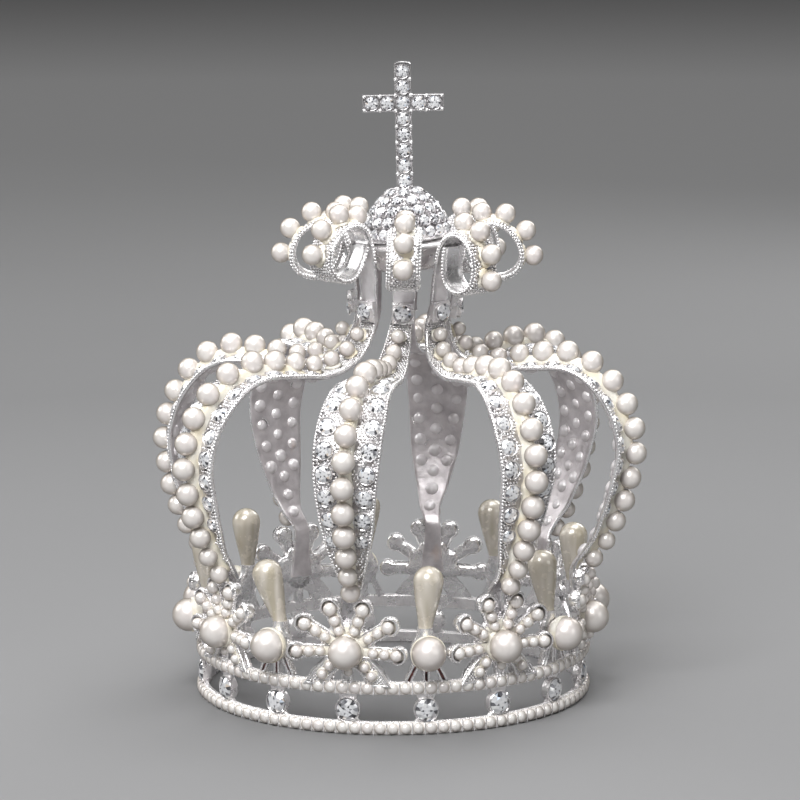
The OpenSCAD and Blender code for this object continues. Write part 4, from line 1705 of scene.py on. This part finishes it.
@dataclass
class Drop:
    """A big pearl on three channelled struts, with a teardrop standing above it."""

    number: int
    angle: float
    radius: float
    height: float
    kit: Kit
    pearl: float = 8.6
    strut_face: float = 49.5
    strut_top: float = 17.2
    strut_foot: float = 13.3
    spread: float = 4.6
    cap_face: float = 48.0
    head: float = 3.8
    teardrop_height: float = 16.6

    def teardrop(self) -> None:
        """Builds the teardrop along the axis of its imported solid."""
        points = loose_solids("teardrop_%d" % self.number)[0]
        points = np.unique(np.round(points, 3), axis=0)
        middle = points.mean(0)
        axis = unit(np.linalg.svd(points - middle, full_matrices=False)[2][0])
        axis = axis if axis[2] > 0 else -axis
        along = (points - middle) @ axis
        base = middle + axis * along.min()
        ring = points[along < along.min() + 0.05]
        base = ring.mean(0) if len(ring) > 6 else base
        top = self.teardrop_height - self.head
        bulb = [
            (self.head * math.cos(t), top + self.head * math.sin(t))
            for t in np.radians(np.arange(-12, 90, 8.5))]
        stem = [
            (0, 0), (1.6, 0), (1.74, 0.3), (1.8, 1.4), (1.98, 2.6), (2.26, 4.0), (2.58, 5.5), (2.92, 7.1),
            (3.22, 8.7), (3.5, 10.4), (3.68, 11.6)]
        x = unit(np.cross((0, 1, 0), axis))
        shape = Shape()
        shape.lathe(
            stem + bulb + [(0, self.teardrop_height)], 40, place=framed(x, np.cross(axis, x), axis, base))
        shape.give(
            "teardrop_glass_%d" % self.number, TEARDROP, crease=80, replaced=["teardrop_%d" % self.number])

    def struts(self) -> None:
        """Walls the three struts into channels with a copper floor."""
        shape = Shape()
        for s in (-1, 0, 1):
            foot = np.array([self.spread * s, self.strut_foot])
            head = np.array([1.4 * s, self.strut_top + 2.6])
            run = unit(head - foot)
            side = np.array([run[1], -run[0]])
            for k in (-1, 1):
                self.bar(shape, foot + side * 0.62 * k, head + side * 0.5 * k, side, 0.27, -1.2, 0.6)
            self.bar(shape, foot, head, side, 0.5, -1.15, -0.1)
            self.bar(shape, foot, head, side, 0.4, -0.2, 0.0, 1)
        shape.give("drop_struts_%d" % self.number, POLISHED, COPPER)

    def bar(self, shape: Shape, a: np.ndarray, b: np.ndarray, side: np.ndarray, half: float, low: float,
            high: float, mark: int = 0) -> None:
        """Adds a flat bar to the struts.

        Args:
            shape: where it goes.
            a: one end of its middle line.
            b: the other end.
            side: direction across it.
            half: half its width.
            low: height of its back.
            high: height of its face.
            mark: which finish.
        """
        loops = []
        for z, h in ((low, half), (high - 0.08, half), (high, half - 0.05)):
            flat = np.array([a - side * h, a + side * h, b + side * h, b - side * h])
            loops.append(np.column_stack([flat, np.full(4, z)]))
        shape.stack(loops, mark, outward(self.strut_face, self.angle, 0))

    def seat(self) -> None:
        """Builds the pearl's ring of cement, and the silver cap that widens behind the pearl."""
        bed = Shape()
        bed.lathe(
            [(3.4, -3.0), (4.3, -1.7), (4.45, -0.9), (4.5, -0.4), (4.3, -0.3), (3.8, -1.2)], 32,
            place=outward(self.radius, self.angle, self.height), closed=True)
        bed.give("drop_cement_%d" % self.number, CEMENT)
        t = np.arange(16) * math.pi / 8
        loops = []
        for y, wide, back, front in (
                (17.0, 1.5, -0.9, 1.0), (18.2, 2.9, -1.1, 1.7), (20.6, 3.9, -1.3, 2.0),
                (22.6, 3.5, -1.6, 2.1), (24.0, 2.7, -1.9, 2.0), (25.2, 2.1, -2.0, 2.0),
                (26.6, 1.98, -1.95, 1.95)):
            out = (front + back) / 2 + (front - back) / 2 * np.sin(t)
            loops.append(np.stack([wide * np.cos(t), np.full(16, y), out], 1))
        cap = Shape()
        cap.stack(loops, place=outward(self.cap_face, self.angle, 0))
        cap.give("drop_cap_%d" % self.number, POLISHED)

    def build(self) -> None:
        """Builds the drop."""
        self.teardrop()
        self.struts()
        self.seat()
        great_pearl("drop_pearl_%d" % self.number, self.angle, self.pearl)


@dataclass
class HeadBand:
    """The two bands with their half round pearls, beaded edges, and the crystals between them."""

    kit: Kit
    first_angle: float
    radius: float = 49.8
    lower: float = 1.6
    upper: float = 11.72
    pearls: int = 100
    crystals: int = 16
    crystal: float = 5.95
    crystal_height: float = 6.15
    crystal_radius: float = 50.15
    tall: float = 1.55
    thick: float = 1.2

    @property
    def bands(self) -> Tuple[Tuple[str, float], ...]:
        """Name and middle height of each band."""
        return ("lower", self.lower), ("upper", self.upper)

    @property
    def angles(self) -> List[float]:
        """Angles of the crystals."""
        return [self.first_angle + 360 / self.crystals * j for j in range(self.crystals)]

    def rims(self) -> None:
        """Sets the half round pearls, the ticks between them, their cement and the edges' beads."""
        r = self.radius
        for name, z in self.bands:
            self.kit.set_ring(
                "rim_half_pearls_" + name, self.pearls, r + 0.4, z, (3.12, 3.05, 2.4), False, HALF_PEARL, 11,
                ["rim_pearls_" + name])
            self.kit.set_ring(
                "rim_ticks_" + name, self.pearls, r + 0.5, z, (0.24, 2.9, 1.2), True, BEADED, 12)
            bed = Shape()
            bed.lathe(
                [(r - 0.1, z - 1.56), (r + 0.4, z - 1.5), (r + 0.75, z - 1.0), (r + 0.8, z),
                 (r + 0.75, z + 1.0), (r + 0.4, z + 1.5), (r - 0.1, z + 1.56)], 200, closed=True)
            bed.give("rim_cement_" + name, NACRE_BED)
        t = np.radians(np.arange(0, 360, 1.5))
        rings = [
            np.stack([(r + 0.02) * np.sin(t), -(r + 0.02) * np.cos(t), np.full(len(t), h)], 1)
            for _, z in self.bands for h in (z - 1.28, z + 1.6)]
        self.kit.set_rows("band_edge_beads", rings, 0.62, 0.28, 13, closed=True)

    def metal(self) -> None:
        """Builds the two rings, and the crystals' cups with the lugs that solder them to both."""
        inner, outer = self.radius - self.thick, self.radius
        for name, z in self.bands:
            shape = Shape()
            low, high = z - self.tall, z + self.tall
            shape.lathe(
                [(inner, low + 0.2), (inner + 0.2, low), (outer - 0.2, low), (outer, low + 0.2),
                 (outer, high - 0.2), (outer - 0.2, high), (inner + 0.2, high), (inner, high - 0.2)],
                160, closed=True)
            if name == "lower":
                self.settings(shape)
            shape.give("band_ring_" + name, PLAIN, replaced=["band_" + name])

    def settings(self, shape: Shape) -> None:
        """Adds the crystals' cups and their lugs.

        Args:
            shape: the lower ring.
        """
        foot, head = self.lower + self.tall - 0.3, self.upper - self.tall + 0.1
        for angle in self.angles:
            shape.lathe(
                [(0, -2.3), (2.4, -2.3), (3.0, -1.9), (3.12, -1.0), (3.14, 0.1), (3.04, 0.24), (2.9, 0.1),
                 (2.84, -1.7), (0, -1.7)], 32, place=outward(self.crystal_radius, angle, self.crystal_height))
            plate = outward(self.radius - self.thick + 0.1, angle, 0)
            for y0, w0, y1, w1 in ((foot, 3.3, foot + 1.6, 1.8), (head - 1.5, 1.9, head, 2.5)):
                plan = [(-w0, y0), (w0, y0), (w1, y1), (-w1, y1)]
                shape.plate(plan, ((0.15, 0.0), (0.0, 0.15), (0.0, 0.85), (0.15, 1.0)), place=plate)

    def stones(self) -> None:
        """Sets the crystals with four claws each."""
        shape = Shape()
        places = [outward(self.crystal_radius, angle, self.crystal_height) for angle in self.angles]
        for place in places:
            for a in (45, 135, 225, 315):
                c, s = math.cos(math.radians(a)), math.sin(math.radians(a))
                claw = place @ shifted(3.05 * c, 3.05 * s, a)
                shape.brick((-0.4, -0.28, -1.0), (0.15, 0.28, 0.4), 0.15, claw)
        points, aims = np.array([p[:3, 3] for p in places]), np.array([p[:3, 2] for p in places])
        self.kit.set_pieces(
            "head_crystals", self.kit.stone, points, aims, self.crystal, CRYSTAL, 17, ["base_crystals"])
        shape.give("crystal_claws", POLISHED)

    def build(self) -> None:
        """Builds both bands and what is set on them."""
        self.metal()
        self.rims()
        self.stones()


@dataclass
class DomeTop:
    """The pavé dome on its plain collar."""

    kit: Kit
    radius: float = 10.8
    rise: float = 12.8
    foot: float = 118.3
    pivot: float = 116.6
    tilt: float = -5.0
    stone: float = 2.95
    prong: float = 0.9
    rows: Tuple[Tuple[float, int], ...] = ((0.13, 21), (0.36, 19), (0.57, 15), (0.75, 11), (0.89, 7))
    shares: Tuple[float, ...] = (0.0, 0.1, 0.3, 0.5, 0.7, 0.85, 0.95, 1.0)
    widths: Tuple[float, ...] = (1.0, 0.985, 0.925, 0.82, 0.655, 0.46, 0.25, 0.0)

    @property
    def place(self) -> np.ndarray:
        """The dome's frame: its foot's middle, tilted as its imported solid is."""
        low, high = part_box("dome")
        middle = float(low.x + high.x) / 2 / MM
        a = math.radians(self.tilt)
        lean = (self.foot - self.pivot) * math.tan(a)
        return framed(
            (math.cos(a), 0, -math.sin(a)), (0, 1, 0), (math.sin(a), 0, math.cos(a)),
            (middle + lean, 0, self.foot))

    def surface(self, t: float) -> Tuple[float, float, float, float]:
        """Reads the dome's curve.

        Args:
            t: share of its rise.

        Returns:
            Its radius and height there, and the outward and upward parts of its direction.
        """
        radii = np.array(self.widths) * self.radius
        above, below = min(t + 0.05, 1), max(t - 0.05, 0)
        dr = float(np.interp(above, self.shares, radii) - np.interp(below, self.shares, radii))
        dz = (above - below) * self.rise
        length = math.hypot(dr, dz)
        return float(np.interp(t, self.shares, radii)), t * self.rise, dz / length, -dr / length

    def shell(self) -> None:
        """Builds the smooth dome, its rim, the slot darkened as painted shadow, and the collar."""
        shape = Shape()
        r = self.radius
        profile = [
            (0, -0.55), (r - 0.2, -0.55), (r + 0.15, -0.3), (r + 0.25, 0.3), (r + 0.05, 0.75), (r - 0.3, 0.8)]
        for t in (0.1, 0.2, 0.3, 0.4, 0.5, 0.6, 0.7, 0.78, 0.85, 0.91, 0.96):
            out, z = self.surface(t)[:2]
            profile.append((max(out - 0.35, 0.2), z))
        shape.lathe(profile + [(0, self.rise - 0.3)], 72, place=self.place)
        shape.lathe(
            [(0, -8.3), (7.6, -8.3), (8.2, -8.0), (9.0, -6.6), (10.2, -4.4), (11.4, -2.9), (13.2, -2.3),
             (13.8, -2.0), (13.85, -1.5), (13.5, -1.1), (9.6, -1.05), (0, -1.05)], 72, mark=1,
            place=self.place)
        # The slot under the dome's rim takes the dark plate: painted shadow.
        shape.lathe([(0, -1.1), (r - 0.9, -1.1), (r - 0.9, -0.5), (0, -0.5)], 48, mark=2, place=self.place)
        shape.give("dome_shell", POLISHED, PLAIN, SHADOW, replaced=["dome"])

    def spot(self, t: float, angle: float) -> Tuple[np.ndarray, np.ndarray]:
        """A point of the dome at a share of its rise and an angle, and its outward direction."""
        r, z, out, up = self.surface(t)
        return spin(r, angle, z), spin(out, angle, up)

    def pave(self) -> None:
        """Sets the dome's stones in rows, with bead prongs between them."""
        stones, prongs = [], []
        for row, (t, count) in enumerate(self.rows):
            for k in range(count):
                a = 2 * math.pi * (k + 0.5 * (row % 2)) / count
                stones.append(self.spot(t, a))
                for turn, rise in ((0.5, 0.02), (0.0, 0.115)):
                    prongs.append(self.spot(min(t + rise, 0.97), a + turn * 2 * math.pi / count))
        stones.append((np.array([0, 0, self.rise - 0.1]), np.array([0, 0, 1])))
        turned = self.place[:3, :3].T
        points, aims = (np.array(column) for column in zip(*stones))
        aims = aims @ turned
        # The recess finish darkens the stones' cups: painted shade outlining each stone.
        self.kit.set_gems(
            "dome", moved(points, self.place) + aims * 0.3, aims, self.stone, DOME_STONE, 23, cup=SHADED_RECESS)
        points, aims = (np.array(column) for column in zip(*prongs))
        self.kit.set_balls(
            "dome_prongs", moved(points, self.place), aims @ turned, self.prong, BEADED, steps=8, rings=5,
            seed=24)

    def build(self) -> None:
        """Builds the dome."""
        self.shell()
        self.pave()


@dataclass
class CrossTop:
    """The stone-set cross: rails along its edges and bead prongs between its stones."""

    kit: Kit
    top: float = 163.0
    foot: float = 131.2
    bar: float = 4.3
    span: float = 20.8
    thick: float = 2.6
    pitch: float = 4.0
    stone: float = 3.3
    prong: float = 1.0
    tilt: float = -1.2
    lean: float = 3.28
    fillet: float = 0.5
    brow: float = 0.45

    @property
    def rise(self) -> float:
        """Height of the crossing above the cross's foot."""
        return self.top - self.bar / 2 - 2 * self.pitch - self.brow - self.foot

    @property
    def place(self) -> np.ndarray:
        """The cross's frame at its crossing, with X to the right, Y up and Z to the front."""
        a = math.radians(self.tilt)
        at = (self.lean + self.rise * math.sin(a), 0, self.foot + self.rise * math.cos(a))
        return framed((math.cos(a), 0, -math.sin(a)), (math.sin(a), 0, math.cos(a)), (0, -1, 0), at)

    def corner(self, x: int, y: int) -> List[Tuple[float, float]]:
        """Draws the fillet of an inner corner.

        Args:
            x: side of the corner, -1 or 1.
            y: the same, up or down.

        Returns:
            Its points, anticlockwise along the outline.
        """
        edge, r = self.bar / 2, self.fillet
        arc = [
            (x * (edge + r - r * math.cos(t)), y * (edge + r - r * math.sin(t)))
            for t in np.radians((0, 30, 60, 90))]
        return arc if x * y < 0 else arc[::-1]

    def outline(self) -> np.ndarray:
        """Draws the cross with a round top and small fillets in its corners.

        Returns:
            Its plan, anticlockwise.
        """
        edge, reach = self.bar / 2, self.span / 2
        low, high = -self.rise, 2 * self.pitch + edge + self.brow
        cap = [
            (edge * math.cos(t), high - 0.75 + 0.75 * math.sin(t))
            for t in np.radians(np.linspace(0, 180, 9))]
        plan = [(-edge, low), (edge, low)] + self.corner(1, -1) + [(reach, -edge), (reach, edge)]
        plan += self.corner(1, 1) + cap + self.corner(-1, 1) + [(-reach, edge), (-reach, -edge)]
        return np.array(plan + self.corner(-1, -1))

    def stones(self) -> None:
        """Sets the cross's stones."""
        seats = [(0.0, k * self.pitch) for k in range(-5, 3)]
        seats += [(k * self.pitch, 0.0) for k in (-2, -1, 1, 2)]
        points = moved(np.array([(x, y, self.thick / 2 - 0.05) for x, y in seats]), self.place)
        aims = np.tile(self.place[:3, 2], (len(seats), 1))
        self.kit.set_gems("cross_set", points, aims, self.stone, RHINESTONE, 31, ["cross_stones"])

    def metal(self) -> None:
        """Builds the cross with raised edges round a recessed face, darkened as painted shade."""
        front = self.thick / 2
        steps = (
            (0.25, -front), (0.0, -front + 0.25), (0.0, front - 0.1), (0.12, front + 0.12),
            (0.3, front + 0.12), (0.4, front - 0.25))
        shape = Shape()
        # The recess finish on the face inside the raised edges is painted shade.
        shape.plate(self.outline(), steps, place=self.place, levels={4: 1, 5: 1})
        shape.give("cross_frame", POLISHED, SHADED_RECESS, replaced=["cross"])

    def prongs(self) -> None:
        """Sets bead prongs between the stones, in the corners and at the ends of the arms."""
        sides = (-1, 1)
        flat = [(s * 1.8, (k + 0.5) * self.pitch) for k in range(-5, 2) for s in sides if k not in (0, -1)]
        flat += [(k * self.pitch * 0.99, s * 1.8) for k in (-1.5, 1.5) for s in sides]
        flat += [(s * 1.95, q * 1.95) for s in sides for q in sides]
        flat += [(s * (self.span / 2 - 0.5), q * 1.7) for s in sides for q in sides]
        beads = np.array([(x, y, self.thick / 2 + 0.1) for x, y in flat])
        self.kit.set_balls(
            "cross_prongs", moved(beads, self.place), np.tile(self.place[:3, 2], (len(beads), 1)),
            self.prong, BEADED, steps=10, rings=6, seed=32)

    def build(self) -> None:
        """Builds the cross."""
        self.stones()
        self.metal()
        self.prongs()


@dataclass(frozen=True)
class Lamp:
    """A soft round lamp: its place in metres, width and power."""

    name: str
    place: Tuple[float, float, float]
    size: float
    power: float

    def hang(self) -> None:
        """Hangs the lamp so that it faces the crown."""
        data = bpy.data.lights.new(self.name, "AREA")
        data.shape, data.size, data.energy = "DISK", self.size, self.power
        made = shown(self.name, data)
        made.location = self.place
        made.rotation_mode = "QUATERNION"
        made.rotation_quaternion = (Vector((0, 0, 0.08)) - Vector(self.place)).to_track_quat("-Z", "Y")


@dataclass
class Studio:
    """Pale floor, soft light and the camera of the photograph."""

    distance: float = 850.0
    lens: float = 148.04
    aim: Tuple[float, float, float] = (1.88, 0.0, 75.71)
    elevation: float = 9.211
    roll: float = 0.121
    floor_radius: float = 9.0
    front_wall: float = 0.1
    back_wall: float = 0.08
    dark: float = 0.04
    soft: Tuple[float, float] = (0.25, 0.95)
    tint: Tuple[float, float, float, float] = (1.0, 0.99, 0.98, 1.0)
    lamps: Tuple[Lamp, ...] = (
        Lamp("key", (-0.25, -0.72, 0.85), 0.62, 13.5), Lamp("fill", (0.75, -0.6, 0.4), 0.5, 0.8),
        Lamp("top", (0.1, 0.1, 0.95), 0.75, 5.5), Lamp("rim", (0.5, 0.8, 0.6), 0.55, 2.6),
        Lamp("side", (-0.85, 0.25, 0.5), 0.55, 2.6), Lamp("ceiling", (0, 0.6, 3.0), 4.5, 40.0))

    def floor(self) -> None:
        """Lays a wide round floor."""
        data = bpy.data.meshes.new("floor")
        r, turns = self.floor_radius, np.linspace(0, 2 * math.pi, 65)[:-1]
        data.from_pydata([(r * math.cos(t), r * math.sin(t), 0.0) for t in turns], [], [tuple(range(64))])
        data.materials.append(FLOOR.material())
        shown("floor", data)

    def camera(self) -> None:
        """Places the camera where the photograph was taken."""
        data = bpy.data.cameras.new("camera")
        data.lens, data.sensor_width = self.lens, 36.0
        data.clip_start, data.clip_end = 0.01, 50.0
        made = shown("camera", data)
        e = math.radians(self.elevation)
        target = Vector(self.aim) * MM
        made.location = target + Vector((0, -math.cos(e), math.sin(e))) * self.distance * MM
        made.rotation_mode = "QUATERNION"
        look = (target - made.location).to_track_quat("-Z", "Y")
        made.rotation_quaternion = look @ Quaternion((0, 0, 1), -math.radians(self.roll))
        bpy.context.scene.camera = made

    def sky(self) -> None:
        """Soft room light: a bright wall in front and above, a dimmer one behind, and dark sides."""
        world = bpy.data.worlds.new("room")
        world.use_nodes = True
        room = Nodes(world.node_tree)
        coords = room.node("ShaderNodeTexCoord").outputs["Generated"]
        total = room.node("ShaderNodeMath")
        walls = (((-0.2, -0.72, 0.66), self.front_wall), ((0.3, 0.8, 0.5), self.back_wall))
        for share, (aim, strength) in zip(total.inputs, walls):
            dot = room.node("ShaderNodeVectorMath", {"operation": "DOT_PRODUCT"}, Vector=coords)
            room.put(dot.inputs[1], aim)
            wall = room.node(
                "ShaderNodeMapRange", {"interpolation_type": "SMOOTHSTEP"}, Value=dot.outputs["Value"],
                From_Min=self.soft[0], From_Max=self.soft[1], To_Min=self.dark / 2, To_Max=strength)
            room.put(share, wall.outputs["Result"])
        back = room.node("ShaderNodeBackground", Color=self.tint, Strength=total.outputs[0])
        room.node("ShaderNodeOutputWorld", Surface=back.outputs[0])
        bpy.context.scene.world = world

    def build(self) -> None:
        """Sets up the studio."""
        bpy.context.scene.view_settings.view_transform = "Standard"
        self.camera()
        self.floor()
        self.sky()
        for lamp in self.lamps:
            lamp.hang()


@dataclass
class NeckStones:
    """The cut stone on each arch's neck."""

    kit: Kit
    lift: float = 0.3
    lean: float = 3.0

    def build(self) -> None:
        """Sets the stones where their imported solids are."""
        points, aims, sizes = [], [], []
        for solid in loose_solids("neck_stones"):
            middle = (solid.min(0) + solid.max(0)) / 2
            out = unit(middle * (1, 1, 0) - (self.lean, 0, 0))
            points.append(middle + out * self.lift)
            aims.append(out)
            sizes.append(float(np.ptp(solid[:, 2])))
        self.kit.set_pieces(
            "neck_cut_stones", self.kit.stone, np.array(points), np.array(aims), np.array(sizes), CRYSTAL,
            51, ["neck_stones"])


def ball_place(node: str) -> Tuple[float, float, float]:
    """Reads where a packed ball is.

    Args:
        node: the ball's node.

    Returns:
        Its centre's angle in degrees, radius and height.
    """
    low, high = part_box(node)
    c = (low + high) / 2 / MM
    return math.degrees(math.atan2(c.x, -c.y)), math.hypot(c.x, c.y), c.z


def main() -> None:
    """Builds every part of the crown and its studio."""
    logging.basicConfig(level=logging.INFO, format="%(name)s %(message)s")
    kit = Kit()
    Studio().build()
    for number in range(1, COUNT + 1):
        angle, _, height = ball_place("floret_pearl_%d" % number)
        Floret(number, angle, height, kit).build()
        Arch(number, angle, kit).build()
        angle, radius, height = ball_place("drop_pearl_%d" % number)
        Drop(number, angle, radius, height, kit).build()
    HeadBand(kit, ball_place("floret_pearl_1")[0]).build()
    NeckStones(kit).build()
    DomeTop(kit).build()
    CrossTop(kit).build()
    kit.close()


if __name__ == "__main__":
    main()
